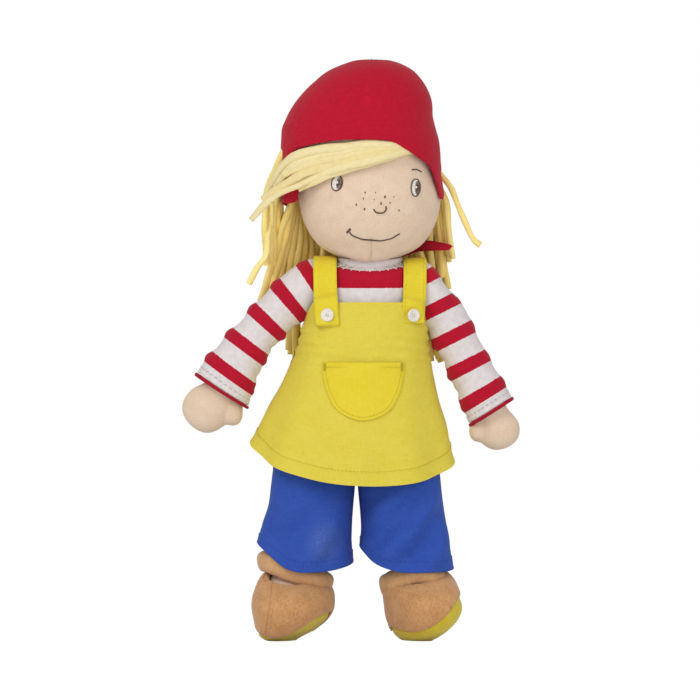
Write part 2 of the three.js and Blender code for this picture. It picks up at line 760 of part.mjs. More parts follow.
// Rings of a limb: half a ball round the pivot, then the swelling limb along its line.
function limbRings(side, ballRadius, widths, sides) {
  const rings = [];
  const start = armDirection(side, 0);
  for (const turn of [12, 35, 60]) {
    const centre = armPivots[side].clone().addScaledVector(start, -Math.cos(rad(turn)) * ballRadius);
    const size = Math.sin(rad(turn)) * ballRadius;
    rings.push(squareRing(centre, start, size, size, sides));
  }
  for (const [share, wide, deep] of widths) {
    rings.push(squareRing(armLine(side, share), armDirection(side, share), wide, deep, sides));
  }
  return rings;
}

function handDirection(side) {
  const angle = rad(armShape[side].hand);
  return at(outward[side] * Math.sin(angle), 0, -Math.cos(angle));
}

function arm(side) {
  const sides = 14;
  const widths = [
    [0.0, shoulderBallRadius, shoulderBallRadius],
    [0.1, shoulderBallRadius * 0.93, shoulderBallRadius * 0.93],
    [0.25, armRadius, armRadius],
    [0.55, armRadius, armRadius],
    [0.85, wristRadius + 0.6, wristRadius + 0.6],
    [0.97, wristRadius, wristRadius],
  ];
  const limb = limbRings(side, shoulderBallRadius, widths, sides);
  const direction = handDirection(side);
  const wrist = armLine(side, 1);
  const palm = [[0.02, 0.8], [0.15, 0.88], [0.35, 1], [0.55, 1], [0.75, 0.86], [0.9, 0.6], [0.98, 0.28]];
  for (const [share, size] of palm) {
    const centre = wrist.clone().addScaledVector(direction, share * armShape[side].palm);
    const deep = lerp(wristRadius, handHalfDepth, share) * size;
    limb.push(squareRing(centre, direction, handHalfWidth * size, deep, sides));
  }
  const inner = at(-outward[side] * direction.z, 0, outward[side] * direction.x).multiplyScalar(-1);
  const thumbWay = direction.clone().addScaledVector(inner, 0.36).normalize();
  const root = wrist.clone().addScaledVector(direction, 2).addScaledVector(inner, handHalfWidth * 0.62);
  const rows = [[0, 0.5], [0.15, 0.85], [0.4, 1], [0.7, 1], [0.9, 0.72], [1, 0.3]];
  const thumb = rows.map(([share, size]) => {
    const centre = root.clone().addScaledVector(thumbWay, share * thumbLength);
    return squareRing(centre, thumbWay, thumbRadius * size, thumbRadius * size, 8);
  });
  return join(loft(limb), loft(thumb));
}

function sleeveWidths(side, inset) {
  const cuff = armShape[side].cuff;
  const rows = [
    [0.0, sleeveShoulderRadius, sleeveShoulderRadius],
    [0.12, sleeveShoulderRadius * 0.97, sleeveShoulderRadius * 0.97],
    [0.3, lerp(sleeveShoulderRadius, sleeveMidRadius, 0.75), sleeveMidRadius],
    [0.5, sleeveMidRadius, sleeveMidRadius * 0.97],
    [0.68, lerp(sleeveMidRadius, cuff, 0.3), sleeveMidRadius * 0.97],
    [0.85, lerp(sleeveMidRadius, cuff, 0.75), cuffHalfDepth],
    [0.96, cuff, cuffHalfDepth],
  ];
  return rows.map(([share, wide, deep]) => [share, wide - inset, deep - inset]);
}

function sleeve(side) {
  const outer = limbRings(side, sleeveShoulderRadius, sleeveWidths(side, 0), 12);
  const inner = limbRings(side, sleeveShoulderRadius - jersey, sleeveWidths(side, jersey), 12);
  return loft([...outer, ...inner.reverse()]);
}

function sleeveCuff(side) {
  const wide = armShape[side].cuff;
  const ringAt = (share, size) => squareRing(
    armLine(side, share), armDirection(side, share), wide + size, cuffHalfDepth + size, 12);
  const start = 0.96 + fit / armLength;
  const end = start + cuffEdge / armLength;
  const outside = 0.3;
  const inside = -jersey - 0.2;
  return loft([
    ringAt(start, outside), ringAt(end, outside), ringAt(end, inside), ringAt(start, inside),
  ], true);
}

// Legs: a ball in the hip, a swelling limb and the foot's core inside the shoe.
const ankle = (side) => legPivots[side].clone().add(at(outward[side] * ankleSpread, 0, ankleHeight - hipZ));
const toeOut = { right: rightToeOut, left: leftToeOut };
const toeWay = (side) => at(0, -1, 0).applyAxisAngle(upAxis, rad(outward[side] * toeOut[side]));

// A level ring turned with the foot, with its own reach to the toe and to the heel.
function footRing(side, { z, wide, toe, heel, power = 2.2, heelTaper = 0 }, sides) {
  const middle = ankle(side);
  const way = toeWay(side);
  const across = way.clone().cross(upAxis).negate();
  return Array.from({ length: sides }, (_, k) => {
    const angle = (2 * Math.PI * (k + 0.5)) / sides;
    const c = Math.cos(angle);
    const s = Math.sin(angle);
    const narrowed = wide * (1 - heelTaper * Math.max(0, -s));
    const sideways = Math.sign(c) * Math.abs(c) ** (2 / power) * narrowed;
    const ahead = Math.sign(s) * Math.abs(s) ** (2 / power) * (s > 0 ? toe : heel);
    return at(middle.x, middle.y, z).addScaledVector(way, ahead).addScaledVector(across, sideways);
  });
}

function leg(side) {
  const sides = 16;
  const line = ankle(side).sub(legPivots[side]);
  const direction = line.clone().normalize();
  const rings = [];
  for (const turn of [12, 35, 60]) {
    const centre = legPivots[side].clone().addScaledVector(direction, -Math.cos(rad(turn)) * hipBallRadius);
    const size = Math.sin(rad(turn)) * hipBallRadius;
    rings.push(squareRing(centre, direction, size, size, sides));
  }
  const shaftRows = [
    [0, hipBallRadius], [0.25, legRadius * 1.03], [0.6, legRadius],
    [1, ankleRadius], [1.22, ankleRadius * 0.9],
  ];
  for (const [share, size] of shaftRows) {
    const centre = legPivots[side].clone().addScaledVector(line, share);
    rings.push(squareRing(centre, direction, size, size, sides));
  }
  const shaft = loft(rings);
  const core = loft([
    { z: footCoreFloor, wide: footCoreWidth * 0.38, toe: footCoreLength * 0.45, heel: ankleRadius * 0.8 },
    { z: footCoreFloor + 5, wide: footCoreWidth / 2, toe: footCoreLength * 0.62, heel: ankleRadius },
    { z: footCoreFloor + 13, wide: footCoreWidth / 2, toe: footCoreLength * 0.62, heel: ankleRadius },
    { z: footCoreFloor + 21, wide: footCoreWidth / 2, toe: footCoreLength * 0.5, heel: ankleRadius },
    { z: footCoreFloor + 28, wide: footCoreWidth * 0.46, toe: footCoreLength * 0.4, heel: ankleRadius * 0.9 },
    { z: footCoreFloor + 31, wide: footCoreWidth * 0.38, toe: footCoreLength * 0.3, heel: ankleRadius * 0.8 },
  ].map((station) => footRing(side, station, sides)));
  return join(shaft, core);
}

function shoeForm(side) {
  const rows = [
    [0, 0.44, 0.5, 0.6],
    [0.07, 0.64, 0.72, 0.78],
    [0.18, 0.82, 0.9, 0.92],
    [0.34, 0.96, 0.99, 1],
    [0.5, 1, 1, 1],
    [0.66, 0.97, 0.9, 1],
    [0.8, 0.88, 0.7, 0.97],
    [0.91, 0.8, 0.49, 0.93],
    [1, 0.74, 0.36, 0.9],
  ];
  return loft(rows.map(([rise, wide, toe, heel]) => footRing(side, {
    z: rise * shoeHeight - soleFlat * (1 - rise),
    wide: shoeHalfWidth * wide,
    toe: shoeToe * toe,
    heel: shoeHeel * heel,
    heelTaper: shoeHeelTaper,
  }, 16)));
}

const soleHeights = { right: rightSoleHeight, left: leftSoleHeight };

// A large block under the seam between the shoe's upper and its sole.
function underSeam(side, lift) {
  const reach = legLength * 2;
  const block = new THREE.BoxGeometry(reach, reach, reach).translate(0, 0, -reach / 2);
  const normal = at(-soleTilt, 0, 1).normalize();
  block.applyQuaternion(new THREE.Quaternion().setFromUnitVectors(upAxis, normal));
  const middle = ankle(side);
  return block.translate(middle.x, middle.y, soleHeights[side] + lift);
}

function coreCavity(side) {
  const share = 1 + (2 * fit) / footCoreWidth;
  const grown = (z, wide, toe, heel) => footRing(side, {
    z, wide: wide * share, toe: toe + fit, heel: heel + fit,
  }, 14);
  return loft([
    grown(footCoreFloor - fit, footCoreWidth * 0.42, footCoreLength * 0.5, ankleRadius * 0.9),
    grown(footCoreFloor + 5, footCoreWidth * 0.51, footCoreLength * 0.64, ankleRadius * 1.04),
    grown(footCoreFloor + 13, footCoreWidth * 0.51, footCoreLength * 0.64, ankleRadius * 1.04),
    grown(footCoreFloor + 21, footCoreWidth * 0.51, footCoreLength * 0.52, ankleRadius * 1.04),
    grown(footCoreFloor + 29, footCoreWidth * 0.51, footCoreLength * 0.45, ankleRadius * 1.04),
    grown(shoeHeight + 4, footCoreWidth * 0.52, footCoreLength * 0.42, ankleRadius * 1.06),
  ]);
}

function shoeUpper(side) {
  const throat = ankle(side).addScaledVector(toeWay(side), 15);
  throat.z = shoeHeight + throatRadius * 0.35;
  const opening = ball(throat, throatRadius, 14);
  const cutters = [underSeam(side, fit), coreCavity(side), opening, shoeStrap(side, fit)];
  return largest(cut(shoeForm(side), ...cutters));
}

function shoeSole(side) {
  const reach = legLength * 2;
  const floor = new THREE.BoxGeometry(reach, reach, reach).translate(0, 0, -reach / 2);
  const base = toSolid(shoeForm(side)).intersect(toSolid(underSeam(side, 0)));
  return toGeometry(base.subtract(toSolid(floor)).subtract(toSolid(coreCavity(side))));
}

// The thick strap rolls round the ankle, high on the outside and low on the inside.
function shoeStrap(side, grow = 0) {
  const middle = ankle(side);
  const rise = shoeHeight + shoeStrapRadius * 0.9;
  const turns = 16;
  const rings = Array.from({ length: turns }, (_, k) => {
    const angle = (2 * Math.PI * k) / turns;
    const way = at(Math.cos(angle), Math.sin(angle), 0);
    const reach = ankleRadius + shoeStrapRadius + fit * 2;
    const centre = middle.clone().addScaledVector(way, reach);
    centre.z = rise + shoeStrapTilt * (centre.x - middle.x) * outward[side] + 0.02 * (centre.y - middle.y);
    return Array.from({ length: 7 }, (_unused, j) => {
      const turn = (2 * Math.PI * j) / 7;
      const size = shoeStrapRadius + grow;
      return centre.clone().addScaledVector(way, Math.cos(turn) * size)
        .addScaledVector(upAxis, Math.sin(turn) * size * 1.1);
    });
  });
  return loft(rings, true);
}

// Dress: the front and back panels share one flaring form. Rows: share of the length at the
// side seams, and share of the way from the bib's width to the hem's.
const flareRows = [
  [0, 0], [0.113, 0.035], [0.185, 0.098], [0.289, 0.144],
  [0.39, 0.228], [0.63, 0.509], [0.794, 0.754], [1, 1],
];
const bibTop = shoulderZ - bibTopDrop;

function dressPoint(down, angle, facing) {
  const flare = along(flareRows, down);
  const wide = lerp(bibHalfWidth, hemHalfWidth, flare);
  const deep = lerp(bibHalfDepth, hemHalfDepth, flare);
  const fold = foldDepth * down ** 2 * Math.cos(rad(angle) * 9 + 0.6);
  const c = Math.cos(rad(angle));
  const s = Math.sin(rad(angle));
  const drop = dressLength * down * (1 - hemSideRise * (1 - c));
  const z = bibTop - drop - hemTilt * s * down ** 2;
  const lean = hipShift * ((necklineZ - z) / bodySpan) + hemShift * down;
  const power = lerp(2.7, 2.1, Math.min(down * 2, 1));
  const across = Math.sign(s) * Math.abs(s) ** (2 / power);
  return at(lean + across * (wide + fold), facing * c ** (2 / power) * (deep + fold), z);
}

const sideSeamShare = 0.185; // the armhole ends here, as a share of the dress length
const bibCorner = 61; // degrees round from the middle of the front
const sideSeam = 89.6;

function dressFront() {
  const place = (u, v) => {
    const armhole = clamp(v / sideSeamShare, 0, 1);
    const reach = lerp(bibCorner, sideSeam, Math.sin((armhole * Math.PI) / 2));
    return dressPoint(v, lerp(-reach, reach, u), -1);
  };
  const panel = sheet(16, 8, place, cotton, (u, v) => at(hipShift / 2, 0, bibTop - v * dressLength));
  return largest(cut(panel, ...armholes()));
}

const backTopShare = 0.13;

function dressBack() {
  const place = (u, v) => dressPoint(lerp(backTopShare, 1, v), lerp(-sideSeam, sideSeam, u), 1);
  const panel = sheet(16, 7, place, cotton, (u, v) => at(hipShift / 2, 0, bibTop - v * dressLength));
  return largest(cut(panel, ...armholes()));
}

// A strap lies on the bib, the shoulder and the back panel. Rays from outside find how far it must
// stand from a middle inside the chest, and each corner clears what lies under its neighbours too.
function strap(side, beneath) {
  const centre = at(outward[side] * strapMiddle, 0, bibTop - strapCentreDrop);
  const start = -Math.asin((strapOverlap - strapCentreDrop) / strapWrapRadius) * (180 / Math.PI);
  const rows = 26;
  const columns = 3;
  const wayAt = (v) => {
    const angle = rad(lerp(start, 188, v));
    return at(0, -Math.cos(angle), Math.sin(angle));
  };
  const lateral = (u, v) => {
    const round = Math.min(1, Math.sqrt(Math.max(0, v * rows)) + 0.35);
    const draw = strapBackDraw * clamp((v - 0.5) * 2, 0, 1);
    const bow = strapBow * Math.sin(Math.PI * clamp(v * 1.25, 0, 1)) - draw;
    return centre.x + (u - 0.5) * strapWidth * round + outward[side] * bow;
  };
  const reach = (u, v) => {
    const way = wayAt(v);
    const origin = at(lateral(u, v), 0, centre.z).addScaledVector(way, dressLength);
    const hit = meet(beneath, origin, way.clone().negate());
    return hit ? dressLength - hit.point.distanceTo(origin) : 0;
  };
  const place = (u, v) => {
    const nearby = [-0.6, -0.3, 0, 0.3, 0.6].flatMap((dv) => [-0.5, 0, 0.5].map((du) => (
      reach(clamp(u + du / columns, 0, 1), clamp(v + dv / rows, 0, 1)))));
    const origin = at(lateral(u, v), 0, centre.z);
    return origin.addScaledVector(wayAt(v), Math.max(...nearby) + fit * 1.5);
  };
  return sheet(columns, rows, place, strapThickness, () => centre);
}

function strapButton(side, beneath) {
  const disc = new THREE.Shape();
  disc.absarc(0, 0, buttonDiameter / 2, 0, 2 * Math.PI);
  for (let k = 0; k < 4; k += 1) {
    const turn = Math.PI / 4 + (k * Math.PI) / 2;
    const hole = new THREE.Path();
    const offset = buttonHoleSpacing / Math.SQRT2;
    hole.absarc(Math.cos(turn) * offset, Math.sin(turn) * offset, buttonHole / 2, 0, 2 * Math.PI, true);
    disc.holes.push(hole);
  }
  const settings = { depth: buttonThickness, bevelEnabled: false, curveSegments: 6 };
  const geometry = new THREE.ExtrudeGeometry(disc, settings);
  const z = bibTop - strapOverlap + buttonInset;
  const spread = buttonDiameter / 2;
  const x = outward[side] * strapMiddle;
  const hits = [[0, 0], [spread, 0], [-spread, 0], [0, spread], [0, -spread]].map(([dx, dz]) => (
    meet(beneath, at(x + dx, -dressLength, z + dz), depthAxis).point));
  const middle = hits[0];
  const across = hits[1].clone().sub(hits[2]);
  const up = hits[3].clone().sub(hits[4]);
  const normal = across.cross(up).normalize();
  const lift = Math.max(...hits.map((hit) => hit.clone().sub(middle).dot(normal))) + fit;
  geometry.applyQuaternion(new THREE.Quaternion().setFromUnitVectors(upAxis, normal));
  const base = middle.addScaledVector(normal, lift);
  return geometry.translate(base.x, base.y, base.z);
}

function pocket(beneath) {
  const topZ = bibTop - pocketDrop;
  const lean = hipShift * ((necklineZ - topZ) / bodySpan) + 1;
  const place = (u, v) => {
    const wide = pocketHalfWidth * Math.sqrt(Math.max(0, 1 - (v * 0.97) ** 2.6));
    const x = lean + (2 * u - 1) * wide;
    const z = topZ - v * pocketHeight;
    const hit = meet(beneath, at(x, -dressLength, z), depthAxis);
    return hit.point.add(at(0, -fit - 0.25, 0));
  };
  return sheet(10, 7, place, cotton, (u, v) => at(lean, 0, topZ - v * pocketHeight));
}

// Trousers: a seat round the hips and two wide legs that part from it just under the hips.
function seatStation(share, inset) {
  const z = lerp(hipZ + trouserRise, hipZ - trouserJoinDrop, share);
  const waist = bodyStation(trouserRise / bodySpan, 0);
  const layers = waistbandThickness + cotton + fit * 4;
  const widening = Math.sin((share * Math.PI) / 2);
  const wide = lerp(waist.wide + layers, trouserHipHalf, widening);
  const deep = lerp(waist.front + layers, trouserSeatDepth, widening);
  const x = hipShift * ((necklineZ - z) / bodySpan);
  return { x, z, wide: wide - inset, front: deep - inset, power: 2.15 };
}

function trouserSeat() {
  const shares = [0, 0.12, 0.3, 0.5, 0.75, 1];
  const outer = shares.map((share) => levelRing(seatStation(share, 0), 20));
  const inner = shares.map((share) => levelRing(seatStation(share, cotton), 20));
  return loft([...outer, ...inner.reverse()], true);
}

function trouserWaistband() {
  const low = waistbandHeight / (trouserRise + trouserJoinDrop);
  const ringAt = (share, size) => levelRing(seatStation(share, -size), 20);
  return loft([
    ringAt(0, -cotton - fit), ringAt(low, -cotton - fit),
    ringAt(low, -cotton - fit - waistbandThickness), ringAt(0, -cotton - fit - waistbandThickness),
  ], true);
}

const trouserHemRise = {
  right: { outer: rightTrouserOuterRise, inner: rightTrouserInnerRise },
  left: { outer: leftTrouserOuterRise, inner: leftTrouserInnerRise },
};

function trouserLeg(side) {
  const rise = trouserHemRise[side];
  const top = hipZ - trouserJoinDrop - fit;
  const rows = [[0, 0, 0], [0.25, 0.15, 0.35], [0.5, 0.45, 0.65], [0.78, 0.85, 0.9], [1, 1, 1]];
  const rings = (inset) => rows.map(([down, flare, depth]) => {
    const z = lerp(top, trouserHemHeight, down);
    const spread = trouserSpread + down * trouserSplay;
    const wide = lerp(trouserTopHalf, trouserHemHalf, flare) - inset;
    const deep = lerp(trouserTopDepth, trouserHemDepth, depth) - inset;
    const x = hipShift + outward[side] * spread;
    return levelRing({ x, z, wide, front: deep, power: 2.3 }, 18).map((point) => {
      const outside = (outward[side] * (point.x - x)) / trouserHemHalf;
      const sideRise = (outside > 0 ? rise.outer : rise.inner) * outside ** 2;
      point.z += down * (trouserHemDip * (point.y / trouserHemDepth) + sideRise);
      return point;
    });
  });
  return loft([...rings(0), ...rings(cotton).reverse()], true);
}

add('torso', torso(), skinColour);
const shirtMesh = add('shirt_body', shirtBody(), redColour);
add('shirt_neckband', neckband(), whiteColour);
add('neck', neck(), skinColour);
const headMesh = add('head', head(), skinColour);
for (const side of ['right', 'left']) {
  add(`${side}_eye`, eye(headMesh, side), threadColour, 0.6);
}
const threadLines = [
  ['left_eyebrow', faceShift + eyeSpread + 1, headFloor + browRise, browWidth, -1, 4],
  ['nose_stitch', faceShift + 2.5, headFloor + noseRise + noseSag, noseWidth, noseSag, 6],
  ['mouth_stitch', faceShift - 1, headFloor + mouthRise, mouthWidth, mouthSag, 8],
];
for (const [name, ...line] of threadLines) add(name, faceLine(headMesh, ...line), threadColour, 0.6);
add('headscarf', scarfCrown(), redColour);
add('headscarf_knot', scarfKnot(), redColour);
add('right_scarf_tail', scarfTail('right'), redColour);
add('left_scarf_tail', scarfTail('left'), redColour);
add('hair_fringe', fringe(), hairColour);
add('right_hair', rightHair(), hairColour);
add('left_hair', leftHair(), hairColour);
add('back_hair', backHair(), hairColour);
const sleeves = [];
for (const side of ['right', 'left']) {
  add(`${side}_arm`, arm(side), skinColour);
  sleeves.push(add(`${side}_sleeve`, sleeve(side), redColour));
  add(`${side}_cuff_edge`, sleeveCuff(side), redColour);
}
for (const side of ['right', 'left']) {
  add(`${side}_leg`, leg(side), skinColour);
  add(`${side}_trouser_leg`, trouserLeg(side), blueColour);
  add(`${side}_shoe_upper`, shoeUpper(side), shoeColour);
  add(`${side}_shoe_sole`, shoeSole(side), soleColour);
  add(`${side}_shoe_strap`, shoeStrap(side), shoeColour);
}
add('trouser_seat', trouserSeat(), blueColour);
add('trouser_waistband', trouserWaistband(), whiteColour);
const frontMesh = add('dress_front', dressFront(), yellowColour);
const backMesh = add('dress_back', dressBack(), yellowColour);
add('dress_pocket', pocket([frontMesh]), yellowColour);
for (const side of ['right', 'left']) {
  const beneath = [frontMesh, backMesh, shirtMesh, ...sleeves];
  const strapMesh = add(`${side}_dress_strap`, strap(side, beneath), yellowColour);
  add(`${side}_strap_button`, strapButton(side, [strapMesh]), whiteColour, 0.35);
}

// The origin is the middle of the footprint on the floor.
const footprint = new THREE.Box3().setFromObject(doll);
const middle = footprint.getCenter(new THREE.Vector3());
doll.position.set(-middle.x, -middle.y, 0);

export default doll;
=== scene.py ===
"""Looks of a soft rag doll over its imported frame. Shapes are written in millimetres about the
middle of the chest and placed in the frame in metres."""

from math import acos, asin, atan2, copysign, cos, degrees, exp, hypot, pi, radians, sin, sqrt, tau

import bpy
import numpy as np
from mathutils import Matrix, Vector, noise
from mathutils.bvhtree import BVHTree

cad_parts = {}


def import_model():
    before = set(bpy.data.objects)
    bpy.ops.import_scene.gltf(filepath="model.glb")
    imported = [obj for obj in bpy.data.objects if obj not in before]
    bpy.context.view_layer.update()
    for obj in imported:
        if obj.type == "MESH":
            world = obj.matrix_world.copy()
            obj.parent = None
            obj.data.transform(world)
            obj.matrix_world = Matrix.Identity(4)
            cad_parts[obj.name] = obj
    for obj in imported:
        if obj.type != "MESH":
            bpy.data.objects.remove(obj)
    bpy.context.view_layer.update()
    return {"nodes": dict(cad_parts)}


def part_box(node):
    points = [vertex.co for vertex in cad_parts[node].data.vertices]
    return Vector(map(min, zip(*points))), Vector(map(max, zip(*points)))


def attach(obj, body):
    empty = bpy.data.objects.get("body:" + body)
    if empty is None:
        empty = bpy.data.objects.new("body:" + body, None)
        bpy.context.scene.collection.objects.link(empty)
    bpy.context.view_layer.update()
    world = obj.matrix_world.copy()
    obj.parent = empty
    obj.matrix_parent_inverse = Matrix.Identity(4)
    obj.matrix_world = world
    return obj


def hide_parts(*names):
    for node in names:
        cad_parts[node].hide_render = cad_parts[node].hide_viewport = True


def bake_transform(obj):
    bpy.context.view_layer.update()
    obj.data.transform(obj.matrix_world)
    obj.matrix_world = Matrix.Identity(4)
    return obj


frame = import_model()

MM = 0.001
neck_low, neck_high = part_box("neck")
CHEST_X = (neck_low.x + neck_high.x) / 2
CHEST_Y = (neck_low.y + neck_high.y) / 2

HIP_Z = 121.0
SHOULDER_Z = HIP_Z + 111.5
NOD_Z = SHOULDER_Z + 7.5
NECKLINE_Z = SHOULDER_Z + 13.3
HEAD_FLOOR = NOD_Z + 7
BODY_SPAN = NECKLINE_Z - HIP_Z
SHOULDER_HALF = 38.0
HIP_HALF = 25.0
HIP_SHIFT = -9.0
CHEST_HALF = (36.0, 26.0)
SHOULDER_CREST = 5.5
HEAD_HEIGHT = 130.5
HEAD_HALF = (47.0, 42.0)
HEAD_FORWARD = 3.0
BIB_TOP = SHOULDER_Z - 11.5
DRESS_LENGTH = 119.0
ARM_LENGTH = 95.0
ANKLE_HEIGHT = 43.0
ANKLE_SPREAD = 15.0
# Red bands of the sleeve, measured down the arm: start of the first, pitch, width.
SLEEVE_BANDS = (13.9, 20.4, 8.3)
# The picture: millimetres for each pixel at the doll's middle, pixels across, the camera's distance and
# place in millimetres, the column of the chest's middle and the row of the floor.
PIXEL = 0.655
PICTURE_SIZE = 700
CAMERA_AWAY = 4500.0
CAMERA_X, CAMERA_Z = -13.1, 189.95
DOLL_COLUMN, FLOOR_ROW = 370, 640
SIDES = {"right": -1, "left": 1}
UP = np.array([0.0, 0.0, 1.0])
DEPTH = np.array([0.0, 1.0, 0.0])


def world(point):
    """The frame's place in metres of one in millimetres about the chest."""
    return (point[0] * MM + CHEST_X, point[1] * MM + CHEST_Y, point[2] * MM)


def about_chest(vertex):
    return ((vertex.co.x - CHEST_X) / MM, (vertex.co.y - CHEST_Y) / MM, vertex.co.z / MM)


def vec(x, y, z):
    return np.array([x, y, z], float)


def unit(v):
    return v / max(np.linalg.norm(v), 1e-9)


def flat_unit(x, y):
    return unit(vec(x, y, 0))


def lerp(a, b, share):
    return a + (b - a) * share


def clamp(value, low=0.0, high=1.0):
    return max(low, min(high, value))


def smooth(value, low, high):
    t = clamp((value - low) / (high - low))
    return t * t * (3 - 2 * t)


def power(value, exponent):
    return copysign(abs(value) ** exponent, value)


def bell(value, width):
    return exp(-((value / width) ** 2))


def wobble(x, y, z, seed=0.0):
    """Smooth noise of about -1 to 1."""
    return noise.noise(Vector((x + seed * 17.3, y - seed * 7.1, z + seed * 3.7)))


def along(rows, position, column=1):
    """A value read off [position, value, ...] rows, smooth between the rows."""
    last = len(rows) - 1
    if position <= rows[0][0]:
        return rows[0][column]
    if position >= rows[last][0]:
        return rows[last][column]
    nxt = next(i for i, row in enumerate(rows) if row[0] > position)
    low, high = rows[nxt - 1], rows[nxt]
    before, after = rows[max(nxt - 2, 0)], rows[min(nxt + 1, last)]
    span = high[0] - low[0]
    t = (position - low[0]) / span
    slope_low = (high[column] - before[column]) / (high[0] - before[0])
    slope_high = (after[column] - low[column]) / (after[0] - low[0])
    t2, t3 = t * t, t * t * t
    return (
        (2 * t3 - 3 * t2 + 1) * low[column]
        + (t3 - 2 * t2 + t) * span * slope_low
        + (3 * t2 - 2 * t3) * high[column]
        + (t3 - t2) * span * slope_high
    )


class Cloth:
    """Corners in millimetres, faces, and cloth coordinates in metres for each face corner."""

    def __init__(self):
        self.corners, self.faces, self.coords, self.rims = [], [], [], set()

    def grid(self, place, across, down, size=(1.0, 1.0), start=(0.0, 0.0), wrap=False, ring=False,
             caps=(False, False), flip=False):
        """Adds the surface place(u, v), closed round u by wrap, and round v as well by ring."""
        base = len(self.corners)
        columns = across if wrap else across + 1
        rows = down if ring else down + 1
        for j in range(rows):
            for i in range(columns):
                self.corners.append(np.asarray(place(i / across, j / down), float))
        for j in range(down):
            for i in range(across):
                a, b = base + j * columns + i, base + j * columns + (i + 1) % columns
                step = columns if j + 1 < rows else columns - rows * columns
                quad = (a, b, b + step, a + step)
                u = [start[0] + (i + k) / across * size[0] for k in (0, 1)]
                v = [start[1] + (j + k) / down * size[1] for k in (0, 1)]
                uv = [(u[0], v[0]), (u[1], v[0]), (u[1], v[1]), (u[0], v[1])]
                self.faces.append(quad[::-1] if flip else quad)
                self.coords.append(uv[::-1] if flip else uv)
        for end, row in ((0, 0), (1, down)):
            if caps[end]:
                rim = [base + row * columns + i for i in range(columns)]
                centre = len(self.corners)
                self.corners.append(np.mean([self.corners[k] for k in rim], axis=0))
                for i in range(columns):
                    tri = (rim[i], rim[(i + 1) % columns], centre)
                    turned = (end == 1) == flip
                    self.faces.append(tri if turned else tri[::-1])
                    self.coords.append([(i / across * size[0], start[1] + row / down * size[1])] * 3)
        return self

    def shell(self, place, across, down, size, thickness, start=(0.0, 0.0), flip=False):
        """Adds a sheet with two faces, place(u, v, lift), closed along its four edges."""
        first = len(self.corners)
        self.grid(lambda u, v: place(u, v, thickness), across, down, size, start, flip=flip)
        second = len(self.corners)
        self.grid(lambda u, v: place(u, v, 0.0), across, down, size, start, flip=not flip)
        columns = across + 1
        edges = [(i + 1, i) for i in range(across)]
        edges += [(down * columns + i, down * columns + i + 1) for i in range(across)]
        edges += [(j * columns, (j + 1) * columns) for j in range(down)]
        edges += [((j + 1) * columns + across, j * columns + across) for j in range(down)]
        for a, b in edges:
            quad = (first + a, second + a, second + b, first + b)
            self.rims.add(len(self.faces))
            self.faces.append(quad[::-1] if flip else quad)
            self.coords.append([(start[0], start[1])] * 4)
        return self

    def tube(self, path, radii, sides=10, facing=None, size=None, flatten=1.0, groove=None,
             start=(0.0, 0.0)):
        """Adds a round or flattened tube along points, with an optional crease along one side."""
        path = [np.asarray(p, float) for p in path]
        count = len(path)
        radii = [radii] * count if isinstance(radii, (int, float)) else radii
        frames, across = [], None
        for k in range(count):
            tangent = unit(path[min(k + 1, count - 1)] - path[max(k - 1, 0)])
            if facing is not None:
                across = unit(np.cross(tangent, np.asarray(facing(k), float)))
            elif across is None:
                across = unit(np.cross(tangent, UP if abs(tangent[2]) < 0.9 else DEPTH))
            else:
                across = unit(across - tangent * across.dot(tangent))
            frames.append((across, unit(np.cross(across, tangent))))
        length = sum(np.linalg.norm(path[k + 1] - path[k]) for k in range(count - 1))
        size = size or (tau * max(radii) * MM, length * MM)

        def place(u, v):
            i = round(v * (count - 1))
            angle = tau * u
            wide, deep = frames[i]
            radius = radii[i]
            if groove is not None:
                turn = (u - groove + 0.5) % 1 - 0.5
                radius *= 1 - 0.22 * bell(turn, 0.05)
            return path[i] + (wide * cos(angle) + deep * sin(angle) * flatten) * radius

        return self.grid(place, sides, count - 1, size, start, wrap=True, caps=(True, True))

    def stitches(self, count, place, radius, steps=(0.1, 0.4, 0.7)):
        """Adds a row of stitches; place gives the point at a share of the row."""
        for k in range(count):
            self.tube([place((k + step) / count) for step in steps], radius, 5)
        return self

    def build(self, name, material, body, slot, stands_for=()):
        """Makes the piece, which rides a body when one is given."""
        mesh = bpy.data.meshes.new(name)
        mesh.from_pydata([world(c) for c in self.corners], [], self.faces)
        layer = mesh.uv_layers.new(name="Cloth")
        layer.data.foreach_set("uv", [value for face in self.coords for uv in face for value in uv])
        mesh.update()
        mesh.shade_smooth()
        piece = bpy.data.objects.new(name, mesh)
        bpy.context.scene.collection.objects.link(piece)
        mesh.materials.append(material)
        if body:
            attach(piece, body)
        if stands_for:
            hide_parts(*stands_for)
        return piece


def curve(points, steps):
    """Evenly spaced points on a smooth curve through the given ones."""
    points = [np.asarray(p, float) for p in points]
    last = len(points) - 1
    fine = []
    for k in range(last):
        p0, p1, p2, p3 = points[max(k - 1, 0)], points[k], points[k + 1], points[min(k + 2, last)]
        for s in np.linspace(0, 1, 12, endpoint=False):
            fine.append(0.5 * (2 * p1 + (p2 - p0) * s + (2 * p0 - 5 * p1 + 4 * p2 - p3) * s**2
                               + (3 * p1 - p0 - 3 * p2 + p3) * s**3))
    fine.append(points[-1])
    fine = np.array(fine)
    lengths = np.concatenate([[0], np.cumsum(np.linalg.norm(np.diff(fine, axis=0), axis=1))])
    wanted = np.linspace(0, lengths[-1], steps + 1)
    return [np.array([np.interp(w, lengths, fine[:, axis]) for axis in range(3)]) for w in wanted]


def thicken(piece, millimetres, offset=-1.0):
    change = piece.modifiers.new("cloth_thickness", "SOLIDIFY")
    change.thickness = millimetres * MM
    change.offset = offset


